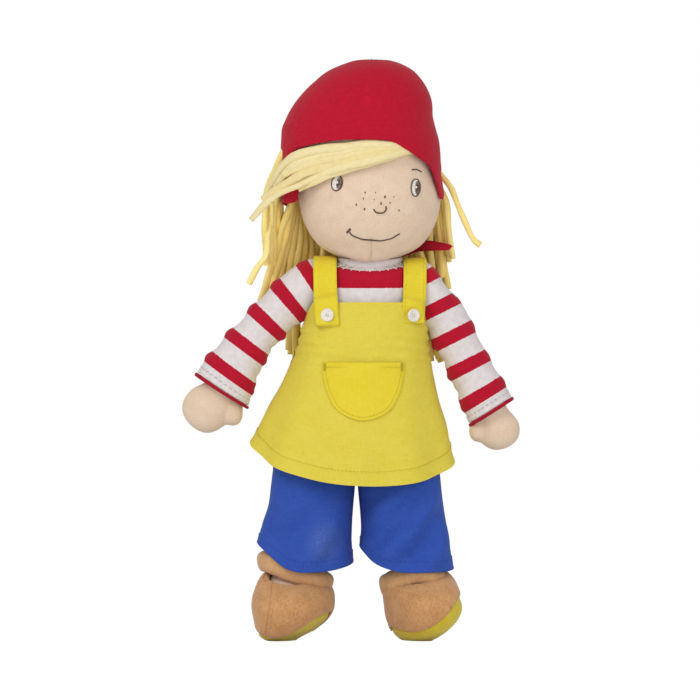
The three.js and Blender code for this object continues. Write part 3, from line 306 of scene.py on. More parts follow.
def settle(piece):
    """Turns what the piece's modifiers make into its own mesh."""
    made = bpy.data.meshes.new_from_object(piece.evaluated_get(bpy.context.evaluated_depsgraph_get()))
    piece.modifiers.clear()
    material = piece.data.materials[0]
    piece.data = made
    made.materials.clear()
    made.materials.append(material)
    made.shade_smooth()


def melt(piece, voxel, rounds=6):
    """Joins overlapping stuffed forms into one skin and relaxes it."""
    remesh = piece.modifiers.new("one_skin", "REMESH")
    remesh.mode = "VOXEL"
    remesh.voxel_size = voxel * MM
    relax = piece.modifiers.new("relaxed", "SMOOTH")
    relax.iterations = rounds
    relax.factor = 0.6
    settle(piece)


# Materials


def colour(code):
    """Linear colour of a hexadecimal sRGB one."""
    values = [int(code[i:i + 2], 16) / 255 for i in (0, 2, 4)]
    return (*[v / 12.92 if v <= 0.04045 else ((v + 0.055) / 1.055) ** 2.4 for v in values], 1.0)


def add_node(tree, kind, inputs=None, out=0, **settings):
    """Adds one node with its settings and its values or links, and gives the output wanted."""
    made = tree.nodes.new("ShaderNode" + kind)
    for key, value in settings.items():
        setattr(made, key, value)
    for key, value in (inputs or {}).items():
        if isinstance(value, bpy.types.NodeSocket):
            tree.links.new(value, made.inputs[key])
        else:
            made.inputs[key].default_value = value
    return made.outputs[out]


def new_finish(name, roughness, sheen, specular):
    material = bpy.data.materials.new(name)
    material.use_nodes = True
    shader = material.node_tree.nodes["Principled BSDF"]
    shader.inputs["Roughness"].default_value = roughness
    shader.inputs["Sheen Weight"].default_value = sheen
    shader.inputs["Sheen Roughness"].default_value = 0.45
    shader.inputs["Specular IOR Level"].default_value = specular
    return material, material.node_tree, shader


def in_millimetres(tree, source, stretch=(1, 1, 1)):
    """The place on the piece, or on its flat cloth, in millimetres times a stretch."""
    place = add_node(tree, "TexCoord", out=source)
    stretch = [value / MM for value in stretch]
    return add_node(tree, "VectorMath", {0: place, 1: stretch}, operation="MULTIPLY")


def toned(tree, cloth, tone, pattern, low, high, most=1.0, least=0.0):
    """The cloth mixed with a tone, from the least share to the most as a pattern goes from low to high."""
    rise = {"Value": pattern, "From Min": low, "From Max": high, "To Min": least, "To Max": most}
    share = add_node(tree, "MapRange", rise)
    return add_node(tree, "Mix", {0: share, 6: cloth, 7: tone}, 2, data_type="RGBA")


def finish(tree, shader, cloth, *reliefs):
    """Gives the shader its colour and its relief: height, depth in millimetres and strength of each."""
    raised = {}
    for height, depth, strength in reliefs:
        values = {"Height": height, "Distance": depth * MM, "Strength": strength, **raised}
        raised = {"Normal": add_node(tree, "Bump", values)}
    tree.links.new(cloth, shader.inputs["Base Color"])
    tree.links.new(raised["Normal"], shader.inputs["Normal"])


def velour(name, base, brushed, against, mottle, streak=1.0, sheen=0.25):
    """Cut-pile polyester velour with a 1 mm nap: light and dark places where the nap lies one way or
    the other. The pile tufts, 0.25 mm apart, are drawn 0.6 mm apart so that they show."""
    material, tree, shader = new_finish(name, 0.95, sheen, 0.12)
    at = in_millimetres(tree, "Object")
    lying = in_millimetres(tree, "Object", (1, 1, streak))
    patches = add_node(tree, "TexNoise", {"Vector": at, "Scale": 0.12, "Detail": 3.0})
    nap = add_node(tree, "TexNoise", {"Vector": lying, "Scale": 0.95, "Detail": 3.0, "Roughness": 0.7})
    tufts = add_node(tree, "TexNoise", {"Vector": lying, "Scale": 1.7, "Detail": 2.0})
    lit = toned(tree, colour(against), colour(brushed), patches, 0.35, 0.68)
    cloth = add_node(tree, "Mix", {0: mottle * 0.5, 6: colour(base), 7: lit}, 2, data_type="RGBA")
    cloth = toned(tree, cloth, colour(brushed), nap, 0.35, 0.7, 0.8 * mottle)
    cloth = toned(tree, cloth, colour(against), nap, 0.5, 0.28, 0.8 * mottle)
    finish(tree, shader, cloth, (tufts, 0.16, 0.5), (nap, 0.35, 0.4))
    return material


# The scale at which a wave texture repeats each millimetre.
WAVE_OF_1_MM = pi / 10


def knitted_bands(tree, at, first, pitch, width):
    """Share of the first yarn, in bands across the cloth: start, pitch and width in millimetres."""
    stretched = add_node(tree, "VectorMath", {0: at, 1: (1.6, 0.3, 1)}, operation="MULTIPLY")
    ragged = add_node(tree, "TexNoise", {"Vector": stretched, "Scale": 1.0, "Detail": 1.0})
    limits = {"Value": ragged, "From Min": 0.3, "From Max": 0.7, "To Min": -0.22, "To Max": 0.22}
    shift = add_node(tree, "MapRange", limits)
    down = add_node(tree, "SeparateXYZ", {0: at}, "Y")
    down = add_node(tree, "Math", {0: down, 1: shift}, operation="ADD")
    down = add_node(tree, "Math", {0: down, 1: first}, operation="SUBTRACT")
    turned = add_node(tree, "Math", {0: down, 1: pitch}, operation="FLOORED_MODULO")
    return add_node(tree, "Math", {0: turned, 1: width}, operation="LESS_THAN")


def jersey(name, base, shade, wale=1.0, uneven=0.3, bands=None, band_yarn=None, strips=None):
    """Single cotton jersey: fine ribs along the cloth and softer rows across it, a dull face with darker worn
    patches at random and painted shade in the hollows between the ribs. Its ribs, 0.5 mm apart, are drawn 1
    mm apart so that they show."""
    material, tree, shader = new_finish(name, 0.88, 0.1, 0.16)
    at = in_millimetres(tree, "UV")
    worn = add_node(tree, "TexNoise", {"Vector": at, "Scale": 0.25, "Detail": 2.0})
    knit = []
    for way, apart, loose in (("X", wale, 0.6), ("Y", wale / 1.4, 0.9)):
        wave = {"Vector": at, "Scale": WAVE_OF_1_MM / apart, "Distortion": loose, "Detail": 1.0}
        knit.append(add_node(tree, "TexWave", wave, "Fac", wave_type="BANDS", bands_direction=way))
    ribs, rows = knit
    cloth = colour(base)
    if bands:
        share = knitted_bands(tree, at, *bands)
        cloth = add_node(tree, "Mix", {0: share, 6: colour(band_yarn), 7: cloth}, 2, data_type="RGBA")
    if strips:
        apart = add_node(tree, "SeparateXYZ", {0: add_node(tree, "TexCoord", out="UV")}, "X")
        number = add_node(tree, "Math", {0: apart, 1: 1.0}, operation="FLOOR")
        tint = add_node(tree, "TexWhiteNoise", {"W": number}, "Value", noise_dimensions="1D")
        cloth = toned(tree, cloth, colour(strips), tint, 0.0, 1.0, 0.8)
    # The shade tone, multiplied in, darkens the random worn patches and also gives the painted shade between
    # the ribs.
    both = {0: 1.0, 6: cloth, 7: colour(shade)}
    wear_and_rib_shade = add_node(tree, "Mix", both, 2, data_type="RGBA", blend_type="MULTIPLY")
    cloth = toned(tree, cloth, wear_and_rib_shade, worn, 0.3, 0.75, uneven)
    # Painted shade: up to 0.16 of the shade tone in the hollows between the ribs.
    cloth = toned(tree, cloth, wear_and_rib_shade, ribs, 0.0, 0.6, 0.0, 0.16)
    finish(tree, shader, cloth, (ribs, 0.1, 0.45), (rows, 0.06, 0.3), (worn, 0.5, 0.25))
    return material


def washed_place(tree, cloth, centre, faded):
    """Cotton rubbed pale over a knee."""
    at = in_millimetres(tree, "Object")
    offset = add_node(tree, "VectorMath", {0: at, 1: centre}, operation="SUBTRACT")
    shaped = add_node(tree, "VectorMath", {0: offset, 1: (1.0, 0.3, 0.8)}, operation="MULTIPLY")
    away = add_node(tree, "VectorMath", {0: shaped}, "Value", operation="LENGTH")
    grain = add_node(tree, "TexNoise", {"Vector": at, "Scale": 1.1, "Detail": 3.0, "Roughness": 0.7})
    fading = {"Value": away, "From Min": 5.0, "From Max": 14.0, "To Min": 0.45, "To Max": 0.0}
    near = add_node(tree, "MapRange", fading)
    rubbed = add_node(tree, "MapRange", {"Value": grain, "From Min": 0.35, "From Max": 0.65})
    share = add_node(tree, "Math", {0: near, 1: rubbed}, operation="MULTIPLY")
    return add_node(tree, "Mix", {0: share, 6: cloth, 7: colour(faded)}, 2, data_type="RGBA")


def woven_cotton(name, base, light, dark, slubs=0.55, crumple=0.5, washed=None):
    """Plain-weave cotton sheeting, washed often: a dull face with uneven yarns and soft crease lines, a
    painted highlight on the crest of each crease and painted shade between the yarns.
    Its yarns, 0.35 mm apart, are drawn 0.9 mm apart so that they show."""
    material, tree, shader = new_finish(name, 0.86, 0.06, 0.18)
    yarn = 0.9
    at = in_millimetres(tree, "UV")
    sets, thick = [], []
    for way, stretch in (("X", (1.2, 0.16, 1)), ("Y", (0.16, 1.2, 1))):
        wave = {"Vector": at, "Scale": WAVE_OF_1_MM / yarn, "Distortion": 0.8, "Detail": 1.0}
        sets.append(add_node(tree, "TexWave", wave, "Fac", wave_type="BANDS", bands_direction=way))
        lying = in_millimetres(tree, "UV", stretch)
        noise = {"Vector": lying, "Scale": 1.0, "Detail": 3.0, "Roughness": 0.6}
        thick.append(add_node(tree, "TexNoise", noise))
    weave = add_node(tree, "Math", {0: sets[0], 1: sets[1]}, operation="MULTIPLY")
    slub = add_node(tree, "Math", {0: thick[0], 1: thick[1]}, operation="ADD")
    lying = in_millimetres(tree, "UV", (0.05, 0.09, 1))
    crease_height_and_crest_light = add_node(tree, "TexNoise", {"Vector": lying, "Scale": 1.0, "Detail": 4.0, "Roughness": 0.55})
    uneven = toned(tree, colour(dark), colour(light), slub, 0.75, 1.25)
    cloth = add_node(tree, "Mix", {0: slubs, 6: colour(base), 7: uneven}, 2, data_type="RGBA")
    # Painted highlight: the cloth is paler on the raised crests of the crease relief.
    cloth = toned(tree, cloth, colour(light), crease_height_and_crest_light, 0.35, 0.7, 0.35)
    if washed:
        cloth = washed_place(tree, cloth, *washed)
    # Painted shade: the cloth is darker in the hollows between the yarns of the weave.
    cloth = toned(tree, cloth, colour(dark), weave, 0.0, 0.5, 0.0, 0.14)
    finish(tree, shader, cloth, (weave, 0.12, 0.5), (slub, 0.18, 0.4), (crease_height_and_crest_light, 1.6, crumple))
    return material


def stitched_thread(name, base, shadow):
    """Mercerised cotton thread: a soft gloss along each 0.4 mm strand and shadow between them."""
    material, tree, shader = new_finish(name, 0.5, 0.15, 0.4)
    lying = in_millimetres(tree, "Object", (0.49, 0.49, 2.2))
    strands = add_node(tree, "TexNoise", {"Vector": lying, "Scale": 1.0, "Detail": 2.0, "Roughness": 0.6})
    thread = toned(tree, colour(shadow), colour(base), strands, 0.35, 0.65)
    finish(tree, shader, thread, (strands, 0.15, 0.6))
    return material


def moulded_polyester(name, base, swirl_tone):
    """Cast polyester resin, tumbled: a satin gloss over a faint pearly swirl."""
    material, tree, shader = new_finish(name, 0.32, 0.0, 0.5)
    shader.inputs["IOR"].default_value = 1.54
    at = in_millimetres(tree, "Object")
    swirl = add_node(tree, "TexNoise", {"Vector": at, "Scale": 0.5, "Detail": 3.0, "Roughness": 0.6})
    waves = add_node(tree, "TexNoise", {"Vector": at, "Scale": 1.5, "Detail": 2.0})
    resin = toned(tree, colour(swirl_tone), colour(base), swirl, 0.3, 0.7)
    finish(tree, shader, resin, (waves, 0.08, 0.2))
    return material


KNEE = tuple(value / MM for value in world((-29.5, -30, 65)))
SKIN = velour("skin_velour", "E4CAB0", "EFD9C4", "D4B596", 0.5)
SHOE = velour("shoe_velour", "CB935D", "DCAC7C", "AE7844", 0.7, 0.4, 0.3)
SHOE_STRAP = velour("shoe_strap_velour", "D4A370", "E0B88C", "BC8A58", 0.6, 0.4, 0.3)
SOLE = velour("sole_velour", "D9C22F", "E6D455", "BDA626", 0.6, 0.4)
SCARF = jersey("scarf_jersey", "C21230", "B8909A", uneven=0.3)
# Painted light: the fringe and the rest of the hair are one yarn in two copies. The fringe's pale cream is
# the yarn as it looks in full light. The rest is given a brighter, more golden colour that stands in for the
# warm light bouncing between the strips where they hang in shade.
HAIR_SHADED_COPY = jersey("hair_jersey", "FFF1A6", "FFDF7C", 1.0, 0.25, strips="FDE588")
FRINGE_LIT_COPY = jersey("fringe_jersey_lit_copy", "F3E7B8", "E8CC8A", 1.0, 0.25, strips="EEDC9C")
STRIPED_SLEEVE = jersey("striped_sleeve_jersey", "BC1230", "C9B9BC", bands=SLEEVE_BANDS, band_yarn="E9E2E2")
STRIPED_SHIRT = jersey(
    "striped_shirt_jersey", "BC1230", "C9B9BC", bands=(2.6, 22.0, 11.6), band_yarn="E9E2E2")
CUFF = jersey("cuff_jersey", "AE1230", "B8909A")
RIB = jersey("neck_rib_jersey", "EAE3E3", "CDBFC2", 1.5)
ELASTIC = jersey("waist_elastic", "E4E0DC", "B9B4B0", 1.2)
DRESS = woven_cotton("dress_cotton", "E2CF44", "E9DA62", "D3BE34", 0.4, 0.6)
DRESS_DOUBLE = woven_cotton("doubled_dress_cotton", "E8D22E", "EDDB4C", "D9C226", 0.4, 0.35)
BLUE = woven_cotton("trouser_cotton", "2F52AE", "3F60BC", "2747A0", 0.4, 0.8)
BLUE_WASHED = woven_cotton("washed_trouser_cotton", "2F52AE", "3F60BC", "2747A0", 0.4, 0.8, (KNEE, "7488C0"))
BROWN_THREAD = stitched_thread("brown_thread", "66503A", "3F2F22")
FRECKLE_THREAD = stitched_thread("pale_brown_thread", "8D7050", "66503A")
WHITE_THREAD = stitched_thread("white_thread", "F3EEE8", "D9D0C8")
IRIS_THREAD = stitched_thread("grey_brown_thread", "8C7A68", "5A4A3C")
PUPIL_THREAD = stitched_thread("dark_thread", "4C3B2C", "33261B")
YELLOW_THREAD = stitched_thread("yellow_sewing_thread", "D8C21C", "C2AC14")
BLUE_THREAD = stitched_thread("blue_sewing_thread", "2846A4", "1E3784")
SKIN_THREAD = stitched_thread("skin_sewing_thread", "DDBE9F", "CDA98A")
GREY_THREAD = stitched_thread("white_sewing_thread", "CFC6C8", "B5AAAD")
BUTTON = moulded_polyester("button_polyester", "F2ECE4", "E0D8CE")


# Body and shirt

# Share of the height above the hips, then shares of CHEST_HALF, tilt back and crest of the ring there.
BODY_ROWS = [
    [-0.03, 1.0, 0.98, 0, 0], [0.05, 1.13, 1.06, 0, 0], [0.2, 1.17, 1.05, 0, 0],
    [0.42, 1.09, 1.05, 0, 0], [0.57, 1.0, 1.05, 0, 0], [0.68, 0.92, 1.05, 0, 0],
    [0.77, 0.93, 1.02, 0.01, 0], [0.86, 0.98, 0.97, 0.04, 0], [0.92, 0.98, 0.93, 0.08, 0.1],
    [0.96, 0.92, 0.88, 0.08, 0.75], [0.985, 0.74, 0.79, 0.08, 0.9], [1.0, 0.57, 0.7, 0.08, 0.1],
]
BODY_SQUARE = 2.2


def ring_point(angle, x, z, wide, deep, square, tilt=0.0, crest=0.0):
    """A point of a squarish ring round the doll, which can tilt back and crest at its sides."""
    c, s = cos(angle), sin(angle)
    back = power(s, 2 / square) * deep
    return vec(x + power(c, 2 / square) * wide, back, z + tilt * back + crest * c * c)


def lean(z):
    """How far the body leans to the doll's right at a height."""
    return HIP_SHIFT * ((NECKLINE_Z - z) / BODY_SPAN)


def body_point(angle, share, inset=0.0, wide_limit=None):
    lower = inset * (share - 0.9) * 10 if share > 0.9 else 0.0
    wide = CHEST_HALF[0] * along(BODY_ROWS, share, 1) - inset
    if wide_limit:
        wide = min(wide, wide_limit)
    return ring_point(
        angle, HIP_SHIFT * (1 - share), HIP_Z + share * BODY_SPAN - lower, wide,
        CHEST_HALF[1] * along(BODY_ROWS, share, 2) - inset, BODY_SQUARE,
        along(BODY_ROWS, share, 3), SHOULDER_CREST * along(BODY_ROWS, share, 4),
    )


def make_torso():
    inset, bottom, chest, chest_share = 2.0, 0.1, 0.8, 0.9
    top = (NOD_Z + 5.5 - HIP_Z) / BODY_SPAN

    def place(u, v):
        angle = tau * u
        share = lerp(0.0, chest_share, min(v / chest, 1))
        slim = lerp(60, 25, smooth(share, 0.5, 0.72))
        point = body_point(angle, share, inset, slim)
        if v > chest:
            rise = (v - chest) / 0.2
            point = lerp(point, vec(0, 0, point[2]), 1 - cos(rise * pi / 2 * 0.92))
            point[2] = lerp(HIP_Z + chest_share * BODY_SPAN, HIP_Z + top * BODY_SPAN, sin(rise * pi / 2))
        elif v < bottom:
            shrink = 1 - 0.35 * (1 - v / bottom) ** 2
            point[0] = HIP_SHIFT + (point[0] - HIP_SHIFT) * shrink
            point[1] *= shrink
        lump = 0.5 * wobble(point[0] / 18, point[1] / 18, point[2] / 22, 1)
        return point + flat_unit(point[0] - HIP_SHIFT * 0.5, point[1]) * lump

    piece = Cloth().grid(place, 48, 44, (0.2, 0.12), wrap=True, caps=(True, True)).build(
        "stuffed_torso", SKIN, "torso", "skin_velour", ["torso"])


def make_neck():
    def place(u, v):
        angle = tau * u
        z = lerp(NOD_Z - 11, NOD_Z + 21, v)
        radius = 9.6 + 1.9 * bell(z - NOD_Z, 7) - 1.2 * max(0, 0.15 - v) / 0.15
        return vec(radius * cos(angle), radius * sin(angle), z)

    piece = Cloth().grid(place, 28, 14, (0.06, 0.03), wrap=True, caps=(True, True)).build(
        "stuffed_neck", SKIN, "neck", "skin_velour", ["neck"])


def make_shirt():
    hem_above_hip = 27
    low_share = hem_above_hip / BODY_SPAN

    def place(u, v):
        share = lerp(1.0, low_share, v)
        angle = tau * u - pi / 2
        point = body_point(angle, share)
        gather = 0.35 * sin(angle * 13 + 5 * wobble(point[0] / 20, point[1] / 20, point[2] / 20, 2))
        return point + flat_unit(point[0], point[1]) * (gather * smooth(v, 0.1, 0.4) - 0.1)

    size = (0.205, (1 - low_share) * BODY_SPAN * MM)
    piece = Cloth().grid(place, 96, 60, size, wrap=True, flip=True).build(
        "shirt_body_jersey", STRIPED_SHIRT, "torso", "striped_jersey", ["shirt_body"])
    thicken(piece, 1.0)


NECKBAND_Z = NECKLINE_Z + 1.4


def make_neckband():
    wide, deep, tilt, crest = BODY_ROWS[-1][1:]

    def place(u, v):
        angle, turn = tau * u, tau * v
        grow = -0.3 + 1.15 * cos(turn)
        point = ring_point(
            angle, 0, NECKBAND_Z + 3.2 * sin(turn), CHEST_HALF[0] * wide + grow,
            CHEST_HALF[1] * deep + grow, BODY_SQUARE, tilt, SHOULDER_CREST * crest)
        rib = 0.12 * cos(angle * 60)
        return point + flat_unit(point[0], point[1]) * rib * max(0, cos(turn))

    Cloth().grid(place, 240, 10, (0.15, 0.013), wrap=True, ring=True).build(
        "ribbed_neckband", RIB, "torso", "white_rib_jersey", ["shirt_neckband"])
    zigzag, teeth = [], 34
    for k in range(teeth * 2 + 1):
        angle = pi * k / teeth
        zigzag.append(body_point(angle, 0.972 if k % 2 else 0.992, -0.9))
    Cloth().tube(zigzag, 0.4, 5).build("neckband_zigzag", WHITE_THREAD, "torso", "white_rib_jersey")


# Head and face

# Share of the head's height, share of HEAD_HALF, and how far that ring lies aside as a share of it.
HEAD_ROWS = [
    [0.0, 0.0, 0], [0.012, 0.27, 0], [0.04, 0.49, 0], [0.085, 0.7, 0], [0.14, 0.83, 0],
    [0.2, 0.915, 0], [0.265, 0.965, 0], [0.335, 0.99, -0.005], [0.41, 0.965, -0.035],
    [0.5, 0.945, -0.065], [0.61, 0.93, -0.08], [0.69, 0.9, -0.08], [0.77, 0.85, -0.075],
    [0.84, 0.765, -0.06], [0.9, 0.635, -0.04], [0.95, 0.45, -0.01], [0.985, 0.22, 0.02],
    [1.0, 0.0, 0.02],
]
HEAD_SQUARE = 2.15
HEAD_MIDDLE = vec(0, -HEAD_FORWARD, HEAD_FLOOR + 60)


def head_station(share):
    size = along(HEAD_ROWS, share, 1)
    return HEAD_HALF[0] * along(HEAD_ROWS, share, 2), HEAD_HALF[0] * size, HEAD_HALF[1] * size


def head_share(z):
    return clamp((z - HEAD_FLOOR) / HEAD_HEIGHT, 0.001, 0.999)


def beside_head(angle, share, off):
    """A point beside the head: angle in degrees from +X towards +Y, height share, distance."""
    x, wide, front = head_station(share)
    c, s = cos(radians(angle)), sin(radians(angle))
    return vec(
        x + power(c, 2 / HEAD_SQUARE) * wide + c * off,
        -HEAD_FORWARD + power(s, 2 / HEAD_SQUARE) * front + s * off, HEAD_FLOOR + share * HEAD_HEIGHT)


def face_point(x, z, off=0.0):
    """The point of the face at x and z, and off millimetres in front of it, with its normal."""
    def depth(px, pz):
        cx, wide, front = head_station(head_share(pz))
        inside = max(0.0, 1 - (abs(px - cx) / max(wide, 0.1)) ** HEAD_SQUARE)
        return -HEAD_FORWARD - front * inside ** (1 / HEAD_SQUARE)

    normal = unit(vec(depth(x + 0.5, z) - depth(x - 0.5, z), -1, depth(x, z + 0.5) - depth(x, z - 0.5)))
    return vec(x, depth(x, z), z) + normal * off, normal


def chin_sag(point):
    """How far the filling has sunk at the front of the chin."""
    return 6.5 * smooth(-point[1], 14, 27) * (1 - smooth(point[2], 250, 259.5))


def make_head():
    def place(u, v):
        share = 0.5 - 0.5 * cos(pi * lerp(0.015, 0.985, v))
        point = beside_head(360 * u, share, 0)
        lump = 0.35 * wobble(point[0] / 16, point[1] / 16, point[2] / 16, 3)
        point = point + unit(point - HEAD_MIDDLE) * lump
        if point[1] < 0 and point[2] < HEAD_FLOOR + 17:
            dart = bell(point[0] - 0.4, 0.9)
            point[1] += 0.5 * dart
            point[2] += 0.3 * dart
        point[2] -= chin_sag(point)
        return point

    piece = Cloth().grid(place, 144, 84, (0.28, 0.16), wrap=True, caps=(True, True)).build(
        "stuffed_head", SKIN, "head", "skin_velour", ["head"])


def picture_x(px):
    """Sideways place in millimetres of a column of the picture."""
    return (px - DOLL_COLUMN) * PIXEL


def picture_z(py):
    return (FLOOR_ROW - py) * PIXEL


def seen_at(px, py, y):
    """The point at depth y that the camera sees at a place of the picture."""
    spread = PIXEL * (1 + y / CAMERA_AWAY)
    middle = PICTURE_SIZE / 2
    return vec(CAMERA_X + (px - middle) * spread, y, CAMERA_Z + (middle - py) * spread)


def thread_line(cloth, points, radius, sides=6, off=0.25):
    """Adds a thread through places of the face given in the picture."""
    spots = [face_point(picture_x(px), picture_z(py), off)[0] for px, py in points]
    path = curve(spots, len(points) * 4)
    ends = [radius * 0.45] + [radius] * (len(path) - 2) + [radius * 0.45]
    return cloth.tube(path, ends, sides)


def on_oval(centre, half, tilt, angle, share=1.0, shift=(0, 0)):
    """x and z of a point of a tilted oval on the face."""
    across, up = cos(angle) * share * half[0] + shift[0], sin(angle) * share * half[1] + shift[1]
    c, s = cos(radians(tilt)), sin(radians(tilt))
    return centre[0] + across * c - up * s, centre[1] + across * s + up * c


def satin_oval(name, centre, half, tilt, thread, off, shift=(0, 0), crown=0.25, stands_for=()):
    """An oval of satin stitch on the face, raised a little in its middle."""
    def place(u, v):
        x, z = on_oval(centre, half, tilt, tau * u, v, shift)
        return face_point(x, z, off + crown * (1 - v * v))[0]

    oval = Cloth().grid(place, 28, 5, (0.01, 0.01), wrap=True)
    oval.build(name, thread, "head", "brown_thread", stands_for)


# Middle, half sizes, tilt in degrees, the iris's shift and its half sizes.
EYES = {
    "right": ((picture_x(337.2), picture_z(184.6)), (3.35, 5.0), -13, (0.95, 0.2), (1.75, 3.7)),
    "left": ((picture_x(414.8), picture_z(189.0)), (2.85, 5.6), -3, (0.8, 0.0), (1.6, 4.3)),
}


def make_eyes():
    for side, (centre, half, tilt, iris_shift, iris_half) in EYES.items():
        satin_oval(f"{side}_eye_white", centre, half, tilt, WHITE_THREAD, 0.3, stands_for=[f"{side}_eye"])
        satin_oval(f"{side}_eye_iris", centre, iris_half, tilt, IRIS_THREAD, 0.42, iris_shift, 0.3)
        pupil_half = (iris_half[0] * 0.55, iris_half[1] * 0.55)
        satin_oval(f"{side}_eye_pupil", centre, pupil_half, tilt, PUPIL_THREAD, 0.62, iris_shift)
        # Painted highlight: a small white satin dot over the pupil stands in for the light caught on the
        # raised iris.
        painted_highlight_shift = (iris_shift[0] - 0.7, iris_shift[1] + 0.2)
        satin_oval(f"{side}_eye_painted_highlight", centre, (0.65, 0.85), tilt, WHITE_THREAD, 0.86, painted_highlight_shift, 0.15)
        turns = [tau * k / 44 for k in range(45)]
        path = [face_point(*on_oval(centre, half, tilt, turn), 0.35)[0] for turn in turns]
        heavy = [0.42 + 0.2 * max(0, cos(turn)) for turn in turns]
        Cloth().tube(path, heavy, 6).build(f"{side}_eye_outline", BROWN_THREAD, "head", "brown_thread")


# Places in the picture: column and row.
NOSE = [(373.3, 210.3), (375.5, 213.4), (379.5, 214.4), (383.5, 213.6), (385.8, 210.4), (385.4, 207.4)]
MOUTH = [(349.6, 232.6), (352, 235.8), (357, 238.2), (362, 240), (368, 240.6), (375, 241.2), (381, 241.4),
         (387, 240.2), (392, 238.8), (396, 236.2), (399.6, 234.4)]
MOUTH_CORNER = [(346.8, 233.8), (348.6, 231.8), (350.6, 229.6)]
BROW = [(411, 171.3), (414, 170.8), (417, 171.2), (421, 173.4)]
# Column, row and radius in millimetres of each knot.
FRECKLES = [
    (365, 194.2, 0.6), (375.2, 194.2, 0.42), (363.1, 200, 0.55), (374, 201, 0.42), (384.6, 198.4, 0.85),
    (393.4, 198.4, 0.4), (380.7, 205, 0.8), (389.6, 204.2, 0.55), (356.2, 206, 0.65), (364.4, 210.4, 0.75),
    (398.5, 211.6, 0.6),
]


def make_face_lines():
    brow = thread_line(Cloth(), BROW, 0.45)
    brow.build("eyebrow_thread", BROWN_THREAD, "head", "brown_thread", ["left_eyebrow"])
    nose = thread_line(Cloth(), NOSE, 0.5)
    nose.build("nose_thread", BROWN_THREAD, "head", "brown_thread", ["nose_stitch"])
    mouth = thread_line(Cloth(), MOUTH, 0.5)
    thread_line(mouth, MOUTH_CORNER, 0.75)
    mouth.build("mouth_thread", BROWN_THREAD, "head", "brown_thread", ["mouth_stitch"])
    knots = Cloth()
    for px, py, radius in FRECKLES:
        centre, normal = face_point(picture_x(px), picture_z(py), 0.1)
        side = unit(np.cross(normal, UP))
        rise = unit(np.cross(side, normal))

        def place(u, v):
            angle = tau * u
            size = sin(v * pi / 2) * radius
            lift = cos(v * pi / 2) * 0.3
            return centre + (side * cos(angle) * 0.85 + rise * sin(angle) * 1.2) * size + normal * lift

        knots.grid(place, 12, 4, wrap=True, flip=True)
    knots.build("freckle_knots", FRECKLE_THREAD, "head", "brown_thread")
    path = []
    for x, above in ((1.1, 15.5), (0.9, 11), (0.5, 7), (0.2, 3.5)):
        point = face_point(x, HEAD_FLOOR + above, -0.25)[0]
        point[2] -= chin_sag(point)
        path.append(point)
    Cloth().tube(curve(path, 20), 0.2, 6).build("chin_seam_thread", SKIN_THREAD, "head", "skin_velour")


# Headscarf

SCARF_STAND = {"front": 5.8, "back": 6.6, "left": 5.8, "right": 11.5}
SCARF_TOP_STAND = 4.4
SCARF_FLAT = (0.29, 0.125)
# From this share of the head's height the scarf closes over the crown in a low dome.
DOME_SHARE, DOME_RISE = 0.985, 0.75
# Height of the scarf's edge in millimetres at angles round the head in degrees.
SCARF_EDGE = [
    [90, 260], [120, 268], [150, 279], [163, 284], [175, 286], [188, 286], [203, 287], [206, 297], [209, 310],
    [212, 318], [222, 321.5], [250, 326], [270, 326.5], [290, 325.5], [300, 321], [314.6, 314.4], [328, 309],
    [335, 301], [340, 290], [348, 288], [356, 290], [364, 306], [376, 312], [390, 306], [404, 290],
    [420, 270], [450, 260],
]


def scarf_surface(angle, share):
    c, s = cos(radians(angle)), sin(radians(angle))
    bulge = clamp((0.97 - share) / 0.3, 0.25, 1)
    closing = sqrt(clamp((1 - share) / 0.06))
    c, s = c * closing, s * closing
    point = beside_head(angle, share, 0)
    left = lerp(2.6, SCARF_STAND["left"], smooth(point[2], 286, 318)) - 2.5 * bell(point[2] - 339, 9)
    hug = 0.55 * smooth(angle % 360, 192, 206) * (1 - smooth(point[2], 300, 316))
    point[0] += c * (left if c > 0 else SCARF_STAND["right"] * bulge * (1 - hug))
    point[1] += s * (SCARF_STAND["back"] if s > 0 else SCARF_STAND["front"])
    if share > DOME_SHARE:
        inside = (1 - share) / (1 - DOME_SHARE)
        point[2] = HEAD_FLOOR + DOME_SHARE * HEAD_HEIGHT + DOME_RISE * (1 - inside**2)
    point[2] += SCARF_TOP_STAND * share**3
    return point


def scarf_edge(angle):
    """Height of the scarf's edge at an angle."""
    return along(SCARF_EDGE, (angle - 90) % 360 + 90)


def edge_share(angle):
    """The share of the head's height at which the scarf ends."""
    low, high = 0.03, 0.9
    for _ in range(24):
        middle = (low + high) / 2
        if scarf_surface(angle, middle)[2] < scarf_edge(angle):
            low = middle
        else:
            high = middle
    return high


def make_scarf():
    shares = {}

    def place(u, v):
        angle = 360 * u + 90
        if u not in shares:
            shares[u] = edge_share(angle)
        rise = lerp(v, v * v if v < 0.5 else 0.5 - 0.5 * cos(pi * v), 0.35)
        point = scarf_surface(angle, lerp(shares[u], 0.9992, rise))
        away = unit(point - HEAD_MIDDLE)
        turn = radians(angle)
        gather = sin(turn * 11 + v * 2 + 2 * wobble(point[0] / 25, point[1] / 25, 0, 4))
        fold = 1.1 * smooth(point[1], -25, 38) * gather * (1 - smooth(v, 0.35, 0.85))
        fold += 0.5 * wobble(point[0] / 22, point[1] / 22, point[2] / 22, 5)
        hem = 0.45 * bell(v - 0.04, 0.02) - 0.3 * bell(v - 0.085, 0.012)
        return point + away * (fold - 0.5 + hem)

    piece = Cloth().grid(place, 200, 64, SCARF_FLAT, wrap=True, caps=(False, True)).build(
        "headscarf_jersey", SCARF, "head", "red_jersey", ["headscarf"])
    thicken(piece, 1.0)


KNOT_RADIUS = 7.0


